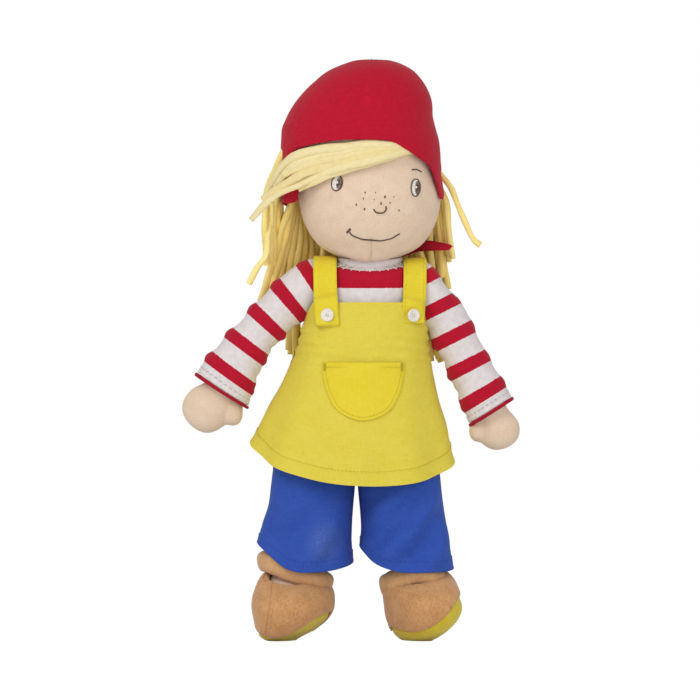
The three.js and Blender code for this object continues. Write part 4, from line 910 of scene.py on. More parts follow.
def knot_centre():
    rear = beside_head(90, 0.14, 0)[1] + SCARF_STAND["back"]
    edge = HEAD_FLOOR + 49 - 0.78 * rear
    return vec(0, rear - 0.55, edge - KNOT_RADIUS * 0.95 - 0.3)


def make_knot():
    centre = knot_centre()

    def place(u, v):
        angle = tau * u
        across = lerp(-6.9, 6.9, v)
        size = sqrt(max(0.08, 1 - (across / 9) ** 2))
        ridge = 1 + 0.07 * sin(angle * 5 + across * 0.5) + 0.05 * sin(angle * 9)
        return centre + vec(across, cos(angle) * 5.6 * size * ridge, sin(angle) * 6.7 * size * ridge)

    piece = Cloth().grid(place, 40, 16, (0.04, 0.015), wrap=True, caps=(True, True)).build(
        "scarf_knot_jersey", SCARF, "head", "red_jersey", ["headscarf_knot"])


RIGHT_TAIL = [(0, 0, 0), (-2.5, 2, -8), (-1, 3, -22), (0.5, 2, -37)]


def make_tails():
    centre = knot_centre()
    left_root = centre + vec(7.1, 0, -1)
    right_root = centre + vec(-8.6, 0, -1)
    paths = {
        "left": [left_root, vec(13, 30, 252), vec(31, 16, 258), vec(42, 3, 258), vec(52, -7, 257)],
        "right": [right_root + vec(*step) for step in RIGHT_TAIL],
    }
    steps = 24
    for side, points in paths.items():
        line = curve(points, steps)
        across = unit(vec(0.25, 0, 1)) if side == "left" else flat_unit(1, 0.1)

        def place(u, v):
            spot = line[round(v * steps)]
            swell = sin(pi * min(v * 0.75, 0.5))
            width = lerp(3, 8.5 if side == "left" else 11, swell) * (1 - 0.6 * v**3)
            curl = 0.8 * sin(u * pi * 2 + v * 4) * v
            outward = flat_unit(spot[0], spot[1] + 3) if side == "left" else DEPTH
            fray = 1.4 * wobble(u * 9, 0.2, 0.7, 21) if v > 0.99 else 0
            ahead = unit(line[-1] - line[-5]) * fray
            return spot + ahead + across * (u - 0.5) * width + outward * (0.6 + curl)

        piece = Cloth().grid(place, 10, steps, (0.011, 0.055)).build(
            f"{side}_scarf_tail_jersey", SCARF, "head", "red_jersey", [f"{side}_scarf_tail"])
        thicken(piece, 1.0, 0.0)


# Hair. Each strip has its half width and its places: column and row in the picture, and depth. The strips
# of the fringe also have how far they lie off the face, where a place has no depth.

FRINGE_LOCKS = [
    (4.8, 1.5, [(414, 148.5), (402, 148.5), (386, 148.5), (362, 150), (342, 153), (320, 156.5, -39),
                (303, 161, -36.5), (296, 164, -35), (289, 169, -32), (281, 179, -27), (274, 193, -20)]),
    (5.2, 2.0, [(414, 148), (404, 148), (390, 146), (370, 144.5), (345, 147.5), (320, 149.5, -40),
                (303, 153, -37), (296, 156, -35), (290, 159, -32), (281, 168, -26), (273, 181, -19),
                (268, 190, -15)]),
    (4.6, 2.6, [(414, 149.5), (402, 149.5), (385, 150.5), (360, 154.5), (335, 158.5), (312, 163.5, -38),
                (296, 169, -35), (284, 174.5, -31)]),
    (5.0, 3.2, [(414, 151), (402, 151.5), (380, 155.5), (350, 162), (325, 167.5, -40), (305, 173, -38),
                (290, 181, -35), (275, 190.5, -31), (263, 200, -27)]),
    (4.4, 3.9, [(414, 152), (403, 152.5), (380, 159), (350, 166.5), (320, 175, -39), (300, 184, -36),
                (280, 193, -34), (266, 203, -31), (251, 220, -29)]),
    (3.4, 2.4, [(414, 153), (404, 154), (380, 161), (352, 169.5), (330, 176.5), (312, 183.5, -37),
                (299, 189, -32)]),
]
TEMPLE_LOCKS = [
    (4.0, [(287, 146, -12), (280, 160, -10), (274, 173, -9), (268, 186, -8), (265.5, 205, -6),
           (264.5, 225, -4), (265, 245, 4), (267, 264, 12)]),
    (3.8, [(296, 152, -15), (287, 164, -13), (279, 176, -10), (273, 190, -6), (271, 210, -2), (271, 235, 4),
           (271, 260, 14)]),
    (3.8, [(292, 156, -6), (284, 170, -2), (278, 186, 0), (275, 203, 1), (273, 225, 3), (275, 246, 10),
           (274, 264, 18)]),
    (3.8, [(290, 160, 0), (283, 176, 2), (278, 196, 4), (277.5, 220, 6), (279, 245, 14), (277, 266, 21),
           (270, 284, 24)]),
]
RIGHT_LOCKS = [
    (3.8, [(276, 196, -4), (272, 214, 2), (268, 235, -2), (266, 255, -5), (257, 268, -6), (249, 284, -5)]),
    (4.4, [(290, 190, 4), (285, 205, 6), (281, 230, 8), (277, 250, 14), (270, 270, 21), (266, 285, 23),
           (260, 301, 24)]),
    (4.4, [(294, 192, 7), (289, 206, 9), (286, 235, 11), (281, 255, 17), (276, 275, 22), (271, 294, 24)]),
    (4.2, [(300, 194, 10), (294, 208, 13), (290, 230, 14), (286, 250, 19), (282, 268, 23), (279, 287, 25)]),
    (4.2, [(304, 196, 14), (299, 210, 16), (295, 230, 17), (292, 250, 21), (289, 274, 25)]),
    (4.0, [(310, 196, 17), (303, 212, 19), (300, 240, 20), (297, 262, 24), (293, 284, 27)]),
    (4.0, [(313, 196, 20), (307, 214, 22), (305, 240, 24), (303, 262, 27), (299, 287, 29)]),
    (4.0, [(301, 200, 20), (299, 250, 30), (299, 300, 34), (295, 332, 36), (296, 358, 37)]),
    (3.8, [(304, 200, 22), (300, 250, 32), (296, 300, 35), (290, 330, 37), (289, 350, 38)]),
    (4.0, [(318, 196, 24), (312, 216, 26), (311, 240, 28), (311, 262, 30), (308, 292, 31)]),
]
LEFT_LOCKS = [
    (3.6, [(436, 158, 2), (443, 168, 1), (450, 186, -1), (456, 200, -3), (463, 217, -5), (470, 233, -6),
           (475, 241, -7), (480.5, 245, -7)]),
    (3.6, [(434, 164, 8), (440, 180, 6), (446, 200, 5), (448, 220, 5), (450, 240, 8), (453, 258, 12)]),
    (3.6, [(432, 170, 12), (438, 186, 9), (443, 202, 8), (446, 225, 9), (448, 245, 12), (449, 261, 17)]),
    (3.8, [(428, 176, 18), (434, 194, 16), (438, 218, 14), (440, 235, 16), (441, 250, 20), (441, 277, 24)]),
    (3.8, [(424, 180, 24), (429, 200, 23), (431, 225, 21), (430, 240, 22), (431, 256, 24), (434, 274, 26)]),
    (3.8, [(422, 184, 28), (430, 206, 27), (437, 232, 26), (438, 256, 27), (441, 282, 28)]),
    (3.8, [(426, 184, 25), (435, 208, 23), (442, 240, 22), (444, 262, 24), (448, 289, 26)]),
    (4.0, [(434, 190, 24), (440, 240, 30), (436, 290, 34), (433, 330, 36), (441, 362, 37)]),
    (3.8, [(418, 190, 32), (426, 210, 31), (426, 235, 30), (424, 262, 31), (422, 292, 32)]),
]
LOCK_TURN = 0.3
FRINGE_DEPTH = -40
# Columns between which the fringe goes in under the scarf, and how many rows it rises there.
UNDER_SCARF, UNDER_SCARF_RISE = (396, 412), 3


def out_of_head(point, off):
    """Moves a point that is nearer the head than off straight out from it."""
    if point[2] < HEAD_FLOOR:
        return point
    x, wide, front = head_station(head_share(point[2]))
    away = vec((point[0] - x) / (wide + off), (point[1] + HEAD_FORWARD) / (front + off), 0)
    reach = np.linalg.norm(away)
    if reach >= 1:
        return point
    return vec(x + (point[0] - x) / reach, -HEAD_FORWARD + (point[1] + HEAD_FORWARD) / reach, point[2])


def tucked(point, off, above):
    """The place beside the head, off millimetres from it, and above the scarf's edge where asked."""
    x = head_station(head_share(point[2]))[0]
    angle = degrees(atan2(point[1] + HEAD_FORWARD, point[0] - x))
    z = point[2] if above is None else max(point[2], scarf_edge(angle) + above)
    return beside_head(angle, head_share(z), off)


def lock(cloth, points, radius, number, flatten=0.6, steps=26):
    """Adds one jersey strip that has rolled in on itself, creased along its length, cut straight."""
    path = curve(points, steps)
    radii = [radius * (1 - 0.1 * k / steps + 0.07 * sin(k * 0.8 + number * 2.1)) for k in range(steps + 1)]

    def facing(k):
        out = unit(vec(path[k][0], path[k][1] + HEAD_FORWARD, 0.001))
        return unit(out + unit(np.cross(UP, out)) * LOCK_TURN * sin(k * 0.4 + number * 1.7))

    length = sum(np.linalg.norm(path[k + 1] - path[k]) for k in range(steps))
    groove = 0.25 + 0.1 * sin(number * 2.7)
    size = (tau * radius * MM, length * MM)
    cloth.tube(path, radii, 14, facing, size, flatten, groove=groove, start=(float(number), 0.0))


def hanging_locks(name, locks, alone, shifts, stands_for, seed, under):
    """Traced strips, then copies that fill the gaps behind them, but none of the strips numbered in
    alone. A shift is inward in millimetres, sideways in columns and upwards in millimetres, and under
    is how far a strip's first two points stand off the head beneath the scarf."""
    cloth, number = Cloth(), 0
    for layer, (inward, sideways, upward) in enumerate(shifts):
        for index, (half, places) in enumerate(locks):
            if layer and index in alone:
                continue
            points = []
            for k, (px, py, y) in enumerate(places):
                sway = 2.0 * wobble(number * 0.7, k * 0.5, 0.4, seed) if layer else 0
                spot = seen_at(px + sideways + sway, py, y + inward)
                points.append(out_of_head(spot, 3.8 - 0.8 * layer) if k > 1 else spot)
            if places[0][2] > -3:
                points[0] = tucked(points[0], under[0], 8)
                points[1] = tucked(points[1], under[1], None)
            points[-1][2] += upward + (4 * wobble(number, 0.3, 1.5, seed) if layer else 0)
            lock(cloth, points, half * 0.72, number, 0.82)
            number += 1
    piece = cloth.build(name, HAIR_SHADED_COPY, None, "hair_jersey", stands_for)
    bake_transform(piece)


def make_side_hair():
    hanging_locks("right_side_hair", TEMPLE_LOCKS + RIGHT_LOCKS, (0, 1, 4), [(0, 0, 0), (4.5, 2.5, -3)],
                  ["right_hair"], 6, (4.0, 6.5))
    hanging_locks("left_side_hair", LEFT_LOCKS, (0, 1), [(0, 0, 0), (4, -2.5, 3)], ["left_hair"], 7,
                  (-1.5, 0.6))


def make_back_hair():
    cloth, number = Cloth(), 0
    for layer, (depth, low) in enumerate([(0.0, 0), (-2.8, 5), (2.4, -3)]):
        for k in range(17):
            x = lerp(-39, 38, (k + 0.5 * (layer % 2)) / 16) + 1.6 * wobble(number, 0.3, 3.1, 8)
            if abs(x + 4) < 12 and depth <= 0:
                continue
            angle = degrees(atan2(36, x))
            share = head_share(scarf_edge(angle) + 4)
            root, nape = beside_head(angle, share, 2.2), beside_head(angle, share - 0.06, 2.4)
            drop = 186 + low + 13 * wobble(number, 1.3, 0.2, 10)
            bend = 3.0 * wobble(number, 2.1, 0.7, 11)
            way = [vec(x, 41 + depth, 245), vec(x + bend, 42 + depth, 230),
                   vec(x * 1.1 + bend, 39.5 + depth, 208), vec(x * 1.24 - bend, 37 + depth * 0.6, drop)]
            lock(cloth, [root, nape, *way], 2.35, number)
            number += 1
    piece = cloth.build("back_hair_strips", HAIR_SHADED_COPY, None, "hair_jersey", ["back_hair"])
    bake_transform(piece)


def make_fringe():
    cloth = Cloth()
    for number, (half, off, places) in enumerate(FRINGE_LOCKS):
        points = []
        for place in places:
            if len(place) == 3:
                points.append(seen_at(*place))
                continue
            under_scarf = smooth(place[0], *UNDER_SCARF)
            flat = seen_at(place[0], place[1] - UNDER_SCARF_RISE * under_scarf, FRINGE_DEPTH)
            points.append(face_point(flat[0], flat[2], lerp(off + 0.7, 0.8, under_scarf))[0])
        lock(cloth, points, half * 0.64, number + 40, 0.72, 40)
    cloth.build("fringe_strips", FRINGE_LIT_COPY, "head", "hair_jersey", ["hair_fringe"])


# Arms and sleeves

# Angles of the upper and lower arm and of the hand from straight down, in degrees; half width of the cuff;
# length of the palm; how far the sleeve puffs out at its outer and inner side.
ARM = {
    "right": {"upper": 57, "lower": 23, "cuff": 20.5, "hand": 44, "palm": 28, "outer": 2.0, "inner": 1.0},
    "left": {"upper": 27, "lower": 26, "cuff": 17.0, "hand": 22, "palm": 23.5, "outer": 0.8, "inner": 1.6},
}
SLEEVE_END = 0.96
SLEEVE_SLANT = {"right": 3.2, "left": 1.8}
SLEEVE_DEEP = 14.5
# Millimetres of knit for each millimetre of arm, and the knit's shift.
SLEEVE_KNIT = {"right": (1.0, 0.0), "left": (0.96, 2.6)}
BALL = 17.0
PALM_HALF = {"right": 15.8, "left": 13.6}
THUMB = {"length": 20, "radius": 6.4}
# Column and row in the picture.
THUMB_TIP = {"right": (232.5, 426), "left": (477, 442)}
THUMB_SPREAD = {"right": 0.9, "left": 0.6}


def arm_pivot(side):
    return vec(SIDES[side] * SHOULDER_HALF, 0, SHOULDER_Z)


def arm_direction(side, share):
    angle = radians(lerp(ARM[side]["upper"], ARM[side]["lower"], share))
    return vec(SIDES[side] * sin(angle), 0, -cos(angle))


def arm_line(side, share):
    steps = 24
    ways = [arm_direction(side, share * (i + 0.5) / steps) for i in range(steps)]
    return arm_pivot(side) + sum(ways) * (ARM_LENGTH * share / steps)


ARM_LINES = {side: [arm_line(side, k / 64) for k in range(65)] for side in SIDES}


def arm_centre(side, share):
    if not 0 <= share < 1:
        return arm_line(side, share)
    k = share * 64
    return lerp(ARM_LINES[side][int(k)], ARM_LINES[side][int(k) + 1], k - int(k))


def outer_way(side, direction):
    """Square to the arm, away from the body."""
    return vec(-direction[2] * SIDES[side], 0, direction[0] * SIDES[side])


def limb_point(side, share, angle, wide, deep):
    """A point of a ring square to the arm; angle 0 is the arm's outer side."""
    outer = outer_way(side, arm_direction(side, share))
    return arm_centre(side, share) + outer * cos(angle) * wide + DEPTH * sin(angle) * deep


def slimmer(side, c, share):
    """The left shoulder is flatter on its outer side, in millimetres."""
    return 7.0 * max(0, c) * (1 - smooth(share, 0.0, 0.3)) if side == "left" else 0.0


def slanted(side, share, angle):
    """The share of the arm's length, put back on its outer side and forward on its inner side."""
    return share - SLEEVE_SLANT[side] * cos(angle) * smooth(share, 0.55, 0.96) / ARM_LENGTH


def sleeve_rows(side):
    cuff = ARM[side]["cuff"]
    return [
        [0.0, 17.0, 17.0], [0.12, 16.6, 16.5], [0.3, 15.4, 14.6], [0.5, 14.6, 14.2],
        [0.68, lerp(14.6, cuff, 0.3), 14.2], [0.85, lerp(14.6, cuff, 0.75), 14.5],
        [SLEEVE_END, cuff, SLEEVE_DEEP],
    ]


def make_sleeve(side):
    rows, shape = sleeve_rows(side), ARM[side]
    length = ARM_LENGTH * SLEEVE_END
    stretch, shift = SLEEVE_KNIT[side]
    first, pitch, width = SLEEVE_BANDS

    def place(u, v):
        angle = tau * u
        run = v * (length + BALL) - BALL
        c = cos(angle)
        if run < 0:
            turn = acos(clamp(-run / BALL, 0.0, 0.985))
            direction = arm_direction(side, 0)
            size = sin(turn) * BALL
            wide = size * (1 - slimmer(side, c, 0) / BALL)
            around = outer_way(side, direction) * c * wide + DEPTH * sin(angle) * size
            return arm_pivot(side) - direction * cos(turn) * BALL + around
        share = run / ARM_LENGTH
        wide, deep = along(rows, share, 1), along(rows, share, 2)
        amount = smooth(share, 0.05, 0.22) * (1 - 0.6 * smooth(share, 0.85, 0.95))
        band = (run * stretch + shift - first - width / 2 + pitch / 2) % pitch - pitch / 2
        puff = bell(band, 4.6) - 0.4
        side_share = shape["outer"] * max(0, c) + shape["inner"] * max(0, -c) + 0.5
        fold = puff * side_share * amount
        fold += 0.35 * amount * sin(run * tau / 7.3 + 1.5 * sin(angle * 2)) * max(0, -c)
        fold += 0.6 * amount * wobble(run / 9, c * 1.3, sin(angle) * 1.3, 12 + SIDES[side])
        fold -= slimmer(side, c, share)
        wide, deep = wide + fold - 0.4, deep + fold * 0.6 - 0.3
        return limb_point(side, slanted(side, share, angle), angle, wide, deep)

    size = (0.095, (length + BALL) * MM * stretch)
    start = (0.0, (-BALL * stretch + shift) * MM)
    piece = Cloth().grid(place, 64, 128, size, start, wrap=True, flip=side == "left").build(
        f"{side}_sleeve_jersey", STRIPED_SLEEVE, f"{side}_arm", "striped_jersey", [f"{side}_sleeve"])
    thicken(piece, 1.0)
    stitches, row, count = Cloth(), 0.918, 30
    wide, deep = along(rows, row, 1) - 0.35, along(rows, row, 2) + 0.1
    for k in range(count):
        angle = tau * k / count
        share = slanted(side, row, angle)
        stitches.tube([limb_point(side, share, angle + step, wide, deep) for step in (0, 0.06, 0.12)], 0.2, 5)
    stitches.build(f"{side}_sleeve_stitches", GREY_THREAD, f"{side}_arm", "striped_jersey")


def make_cuff(side):
    wide = ARM[side]["cuff"]

    def place(u, v):
        angle, turn = tau * u, tau * v
        share = SLEEVE_END + (1.6 + 1.15 * sin(turn)) / ARM_LENGTH
        grow = -0.55 + 0.8 * cos(turn) + 0.12 * sin(angle * 9)
        return limb_point(side, slanted(side, share, angle), angle, wide + grow, SLEEVE_DEEP + grow)

    Cloth().grid(place, 72, 8, (0.1, 0.008), wrap=True, ring=True, flip=side == "left").build(
        f"{side}_cuff_rim", CUFF, f"{side}_arm", "striped_jersey", [f"{side}_cuff_edge"])


LIMB_ROWS = [[0.0, 15.0], [0.1, 14.0], [0.25, 12.0], [0.55, 12.0], [0.85, 11.1], [1.0, 10.4]]
PALM_ROWS = [
    [0.0, 0.8], [0.15, 0.88], [0.35, 1.0], [0.55, 1.0], [0.75, 0.88], [0.9, 0.64], [0.97, 0.38], [1.0, 0.12],
]
THUMB_ROWS = [[0, 0.5], [0.15, 0.85], [0.4, 1], [0.7, 1], [0.9, 0.74], [1, 0.28]]


def make_arm(side):
    sign = SIDES[side]
    hand = radians(ARM[side]["hand"])
    direction = vec(sign * sin(hand), 0, -cos(hand))
    inner = -outer_way(side, direction)
    wrist = arm_line(side, 1)
    cloth = Cloth()

    def place(u, v):
        angle = tau * u
        if v < 0.5:
            wide = along(LIMB_ROWS, v * 2, 1)
            return limb_point(side, v * 2, angle, wide - slimmer(side, cos(angle), v * 2), wide)
        share = v * 2 - 1
        size = along(PALM_ROWS, share)
        centre = wrist + direction * ARM[side]["palm"] * lerp(0.02, 1, share)
        wide, deep = PALM_HALF[side] * size, lerp(10.5, 9.0, share) * size
        lump = 1 + 0.025 * wobble(share * 4, cos(angle), sin(angle), 14 + sign)
        return centre - inner * cos(angle) * wide * lump + DEPTH * sin(angle) * deep * lump

    cloth.grid(place, 40, 64, (0.08, 0.13), wrap=True, caps=(True, True), flip=side == "left")
    thumb_way = unit(direction + inner * THUMB_SPREAD[side])
    root = seen_at(*THUMB_TIP[side], 0) - thumb_way * THUMB["length"]
    count = 18
    path = [root + thumb_way * THUMB["length"] * k / count for k in range(count + 1)]
    radii = [THUMB["radius"] * along(THUMB_ROWS, k / count) for k in range(count + 1)]
    cloth.tube(path, radii, 20)
    piece = cloth.build(f"{side}_stuffed_arm", SKIN, f"{side}_arm", "skin_velour", [f"{side}_arm"])
    melt(piece, 1.4, 4)


# Legs and shoes

SHOE_HALF, SHOE_TOE, SHOE_HEEL, SHOE_TOP, SHOE_TAPER = 25.0, 42.0, 27.0, 41.0, 0.2
STRAP_RING, STRAP_RADIUS, STRAP_TALL = 20.4, 4.7, 1.45
FOOT_SQUARE = 2.2
TOE_TURN = {"right": -12, "left": 22}
# Share of the shoe's height, then shares of its half width, toe and heel.
SHOE_ROWS = [
    [0, 0.38, 0.48, 0.56], [0.07, 0.53, 0.66, 0.74], [0.15, 0.67, 0.8, 0.86], [0.24, 0.78, 0.89, 0.93],
    [0.35, 0.89, 0.96, 0.98], [0.5, 0.98, 1, 1], [0.64, 1, 0.94, 1], [0.8, 0.96, 0.72, 0.97],
    [0.91, 0.88, 0.5, 0.92], [0.97, 0.78, 0.4, 0.84], [1, 0.68, 0.36, 0.74],
]
# How far each shoe leans outwards at a share of its height, in millimetres.
SHOE_LEAN = {
    "right": [[0, 9], [0.07, 8], [0.13, 6], [0.22, 4.2], [0.33, 2], [0.5, 0.5], [0.7, 0], [1, -2]],
    "left": [[0, -2.5], [0.18, -1.7], [0.3, -0.6], [0.6, 0], [1, -3]],
}
# How the shoe's upper edge and its strap slope up outwards, and the strap's height above the edge.
STRAP_SLOPE = {"right": 0.34, "left": 0.42}
STRAP_LIFT = {"right": 3.9, "left": 4.2}
# The angle at which the strap's end is sewn down, in degrees.
STRAP_CUT = {"right": 300, "left": 248}
# Where the yellow sole meets the upper at the front, as x and z, and the height of that seam behind.
SOLE_SEAM = {
    "right": [[-78, 12], [-73.4, 7.2], [-66.8, 3.8], [-55.7, 4.8], [-45.9, 10.2], [-34, 17.4], [-24, 21]],
    "left": [[6, 14], [14, 10], [18, 8.6], [24, 7.3], [29.5, 7.2], [39.3, 10.8], [49.1, 18.2], [54, 24],
             [59, 29.5], [62, 31]],
}
SEAM_BEHIND = 6.0


def leg_pivot(side):
    return vec(HIP_SHIFT + SIDES[side] * HIP_HALF, 0, HIP_Z)


def ankle(side):
    return leg_pivot(side) + vec(SIDES[side] * ANKLE_SPREAD, 0, ANKLE_HEIGHT - HIP_Z)


def toe_way(side):
    turn = radians(TOE_TURN[side])
    return vec(sin(turn), -cos(turn), 0)


def foot_point(side, angle, z, wide, toe, heel, taper=0.0):
    """A point of a ring round the foot; angle 90 degrees is the toe."""
    middle, way = ankle(side), toe_way(side)
    across = -np.cross(way, UP)
    c, s = cos(angle), sin(angle)
    ahead = power(s, 2 / FOOT_SQUARE) * (toe if s > 0 else heel)
    sideways = power(c, 2 / FOOT_SQUARE) * wide * (1 - taper * max(0, -s))
    return vec(middle[0], middle[1], z) + way * ahead + across * sideways


# Share of the leg's length and radius; then height, half width, toe and heel of the foot.
LEG_CORE = [
    [-0.21, 0.3], [-0.16, 9.5], [-0.1, 13.5], [0, 16.4], [0.25, 16.0], [0.6, 15.5], [1, 15], [1.2, 13.5],
]
FOOT_CORE = [
    [12, 12.5, 20, 12], [17, 15.5, 26, 14], [25, 16, 26, 14.5], [33, 18.5, 22, 15], [40, 17.5, 17.6, 13.5],
    [43, 14.5, 13.2, 12],
]


def make_leg(side):
    pivot, foot = leg_pivot(side), ankle(side)
    direction, length = unit(foot - pivot), np.linalg.norm(foot - pivot)
    count = 40
    shares = [lerp(-0.2, 1.2, k / count) for k in range(count + 1)]
    path = [pivot + direction * length * share for share in shares]
    cloth = Cloth().tube(path, [along(LEG_CORE, share) for share in shares], 32)

    def place(u, v):
        z = lerp(FOOT_CORE[0][0], FOOT_CORE[-1][0], v)
        return foot_point(side, tau * u, z, *(along(FOOT_CORE, z, column) for column in (1, 2, 3)), 0.2)

    cloth.grid(place, 32, 16, (0.1, 0.04), wrap=True, caps=(True, True))
    piece = cloth.build(f"{side}_stuffed_leg", SKIN, f"{side}_leg", "skin_velour", [f"{side}_leg"])
    melt(piece, 1.8)


def shoe_point(side, angle, rise, inset=0.0):
    wide = SHOE_HALF * along(SHOE_ROWS, rise, 1) - inset
    toe = SHOE_TOE * along(SHOE_ROWS, rise, 2) - inset
    heel = SHOE_HEEL * along(SHOE_ROWS, rise, 3) - inset
    point = foot_point(side, angle, rise * SHOE_TOP, wide, toe, heel, SHOE_TAPER)
    outward = (point[0] - ankle(side)[0]) * SIDES[side]
    point[0] += SIDES[side] * along(SHOE_LEAN[side], rise)
    if side == "left":
        point[0] -= 0.16 * min(outward, 0) * (1 - smooth(rise, 0.8, 1))
    point[2] += 0.6 * STRAP_SLOPE[side] * outward * smooth(rise, 0.55, 1)
    return point


def seam_rise(side, angle):
    """Height share of the seam between upper and sole."""
    behind = smooth(-sin(angle), -0.15, 0.6)
    rise = 0.2
    for _ in range(5):
        x = shoe_point(side, angle, rise)[0]
        rise = clamp(lerp(along(SOLE_SEAM[side], x), SEAM_BEHIND, behind) / SHOE_TOP, 0.06, 0.75)
    return rise


# The shoe's open throat over the instep: how far ahead of the ankle, aside, above the edge, and its radius.
THROAT_AHEAD, THROAT_ASIDE, THROAT_UP, THROAT_RADIUS = 13, {"right": -1, "left": -6}, 4, 16
# How far the shoe's middle lies ahead of the ankle.
MIDDLE_AHEAD = 8
# The seam over the toe, as z and x.
TOE_SEAM = {"right": [[0, -67.5], [10, -66.5], [22, -65], [34, -63.6], [41, -63]]}


def make_shoe(side):
    way, middle = toe_way(side), ankle(side)
    throat = middle + way * THROAT_AHEAD + vec(THROAT_ASIDE[side], 0, 0)
    throat[2] = SHOE_TOP + THROAT_UP
    rises = {}

    def place(u, v):
        angle = tau * u
        if u not in rises:
            rises[u] = seam_rise(side, angle)
        point = shoe_point(side, angle, lerp(rises[u] + 0.008, 1.0, v), 0.3)
        reach = point - throat
        distance = np.linalg.norm(reach)
        if distance < THROAT_RADIUS:
            point = throat + reach / max(distance, 1e-6) * THROAT_RADIUS
        outward = unit(point - vec(middle[0], middle[1], 15) - way * MIDDLE_AHEAD)
        lump = 0.5 * wobble(point[0] / 13, point[1] / 13, point[2] / 13, 15 + SIDES[side])
        tuck = 0.6 * bell(v, 0.05)
        seam = 0.0
        if side in TOE_SEAM and sin(angle) > 0:
            seam = 0.8 * bell(point[0] - along(TOE_SEAM[side], point[2]), 0.9)
        return point + outward * (lump - seam - tuck)

    piece = Cloth().grid(place, 200, 44, (0.2, 0.04), wrap=True).build(
        f"{side}_shoe_velour", SHOE, f"{side}_leg", "shoe_velour", [f"{side}_shoe_upper"])
    thicken(piece, 2.0)

    def sole_place(u, v):
        angle = tau * u
        if v < 0.5:
            rim, centre = shoe_point(side, angle, 0.01), middle + way * MIDDLE_AHEAD
            share = v / 0.5
            return vec(lerp(centre[0], rim[0], share), lerp(centre[1], rim[1], share), 0.0)
        share = (v - 0.5) / 0.5
        point = shoe_point(side, angle, lerp(0.01, seam_rise(side, angle), share))
        point[2] = max(point[2], 0.0)
        outward = flat_unit(point[0] - middle[0], point[1] - middle[1] - way[1] * MIDDLE_AHEAD)
        puff = 0.7 * sin(pi * share) - 0.5 * bell(share - 1, 0.12)
        return point + outward * puff

    piece = Cloth().grid(sole_place, 120, 28, (0.2, 0.03), wrap=True, caps=(False, True), flip=True).build(
        f"{side}_sole_velour", SOLE, f"{side}_leg", "sole_velour", [f"{side}_shoe_sole"])


def make_shoe_strap(side):
    middle = ankle(side)
    count = 72
    path, radii = [], []
    for k in range(count):
        angle = tau * k / count
        out = vec(cos(angle), sin(angle), 0)
        spot = middle + out * STRAP_RING
        outward = (spot[0] - middle[0]) * SIDES[side]
        if side == "left" and outward > 0:
            spot -= out * 4.0 * cos(angle) ** 2
            outward *= -0.8
        spot[2] = SHOE_TOP + STRAP_LIFT[side] + STRAP_SLOPE[side] * outward
        spot[2] += 0.5 * wobble(angle * 1.5, 0.3, 0.8, 16 + SIDES[side])
        path.append(spot)
        radii.append(STRAP_RADIUS + 0.15 * sin(k * 1.3))

    def place(u, v):
        k = round(v * count) % count
        turn = tau * u
        out = flat_unit(path[k][0] - middle[0], path[k][1] - middle[1])
        away = degrees(tau * k / count) - STRAP_CUT[side]
        fold = 0.35 * sin(turn * 3 + k * 0.35) + 0.25 * sin(turn * 5 - k * 0.2)
        cut = 0.9 * bell(away, 3.0) - 0.6 * bell(away - 7, 3.0)
        radius = radii[k] + 0.5 * fold - cut * (0.5 + 0.5 * cos(turn))
        return path[k] + out * cos(turn) * radius + UP * sin(turn) * radius * STRAP_TALL

    piece = Cloth().grid(place, 32, count, (0.03, 0.13), wrap=True, ring=True, flip=True).build(
        f"{side}_strap_velour", SHOE_STRAP, f"{side}_leg", "shoe_velour", [f"{side}_shoe_strap"])


# Dress

# Share of the dress's length, and how far it has widened from bib to hem there.
FLARE_ROWS = [
    [0, 0], [0.113, 0.035], [0.185, 0.098], [0.289, 0.144], [0.39, 0.228], [0.63, 0.509], [0.794, 0.754],
    [1, 1],
]
BIB_HALF, HEM_HALF = (38.0, 29.5), (65.0, 43.0)
HEM_SHIFT, HEM_TILT, HEM_SIDE_RISE, HEM_BAND = -2.2, 5.5, 0.2, 9.2
DRESS_THICK = 1.1
SIDE_ANGLE = 89.95
ARMHOLE = 0.13


def dress_drop(down, angle):
    rise = HEM_SIDE_RISE * (1 - cos(radians(angle)))
    return DRESS_LENGTH * down * (1 - rise)


def dress_point(down, angle, facing, lift=0.0):
    """A point of the dress: share of the length, degrees round from the middle, -1 front or 1 back."""
    flare = along(FLARE_ROWS, down)
    wide, deep = lerp(BIB_HALF[0], HEM_HALF[0], flare), lerp(BIB_HALF[1], HEM_HALF[1], flare)
    turn = radians(angle)
    c, s = cos(turn), sin(turn)
    fold = 1.5 * down**2 * cos(turn * 9 + 0.6)
    z = BIB_TOP - dress_drop(down, angle) - HEM_TILT * s * down**2
    middle = lean(z) + HEM_SHIFT * down
    square = lerp(2.7, 2.1, min(down * 2, 1))
    across = power(s, 2 / square)
    crease = 0.6 * wobble(across * 2.2, z / 14, facing * 3, 17) * smooth(down, 0.1, 0.3)
    bent = smooth(down, 0.12, 0.2) * (1 - smooth(down, 0.28, 0.45))
    pulled = z * 0.95 + 2.5 * across + 2 * wobble(across * 2, z / 20, facing, 22)
    crease += 0.55 * sin(pulled) * bent * abs(across)
    grow = fold + crease + lift
    return vec(middle + across * (wide + grow), facing * power(c, 2 / square) * (deep + grow), z)


def front_reach(down):
    return lerp(61, SIDE_ANGLE, sin(clamp(down / 0.185) * pi / 2))


def weigh(piece, share_at):
    """Works out how much each point of the piece would follow a second body; the shares are not kept."""
    shares = np.array([share_at(*about_chest(vertex)) for vertex in piece.data.vertices], np.float32)


def skirt_share(side):
    def share_at(x, y, z):
        middle = lean(z) - 1.5
        level = 1 - smooth(z, 108, 152)
        return level * smooth((x - middle) * SIDES[side], 2, 22) * (1 - smooth(y, -8, 26))
    return share_at


def blend_skirt(piece, side):
    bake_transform(piece)
    weigh(piece, skirt_share(side))


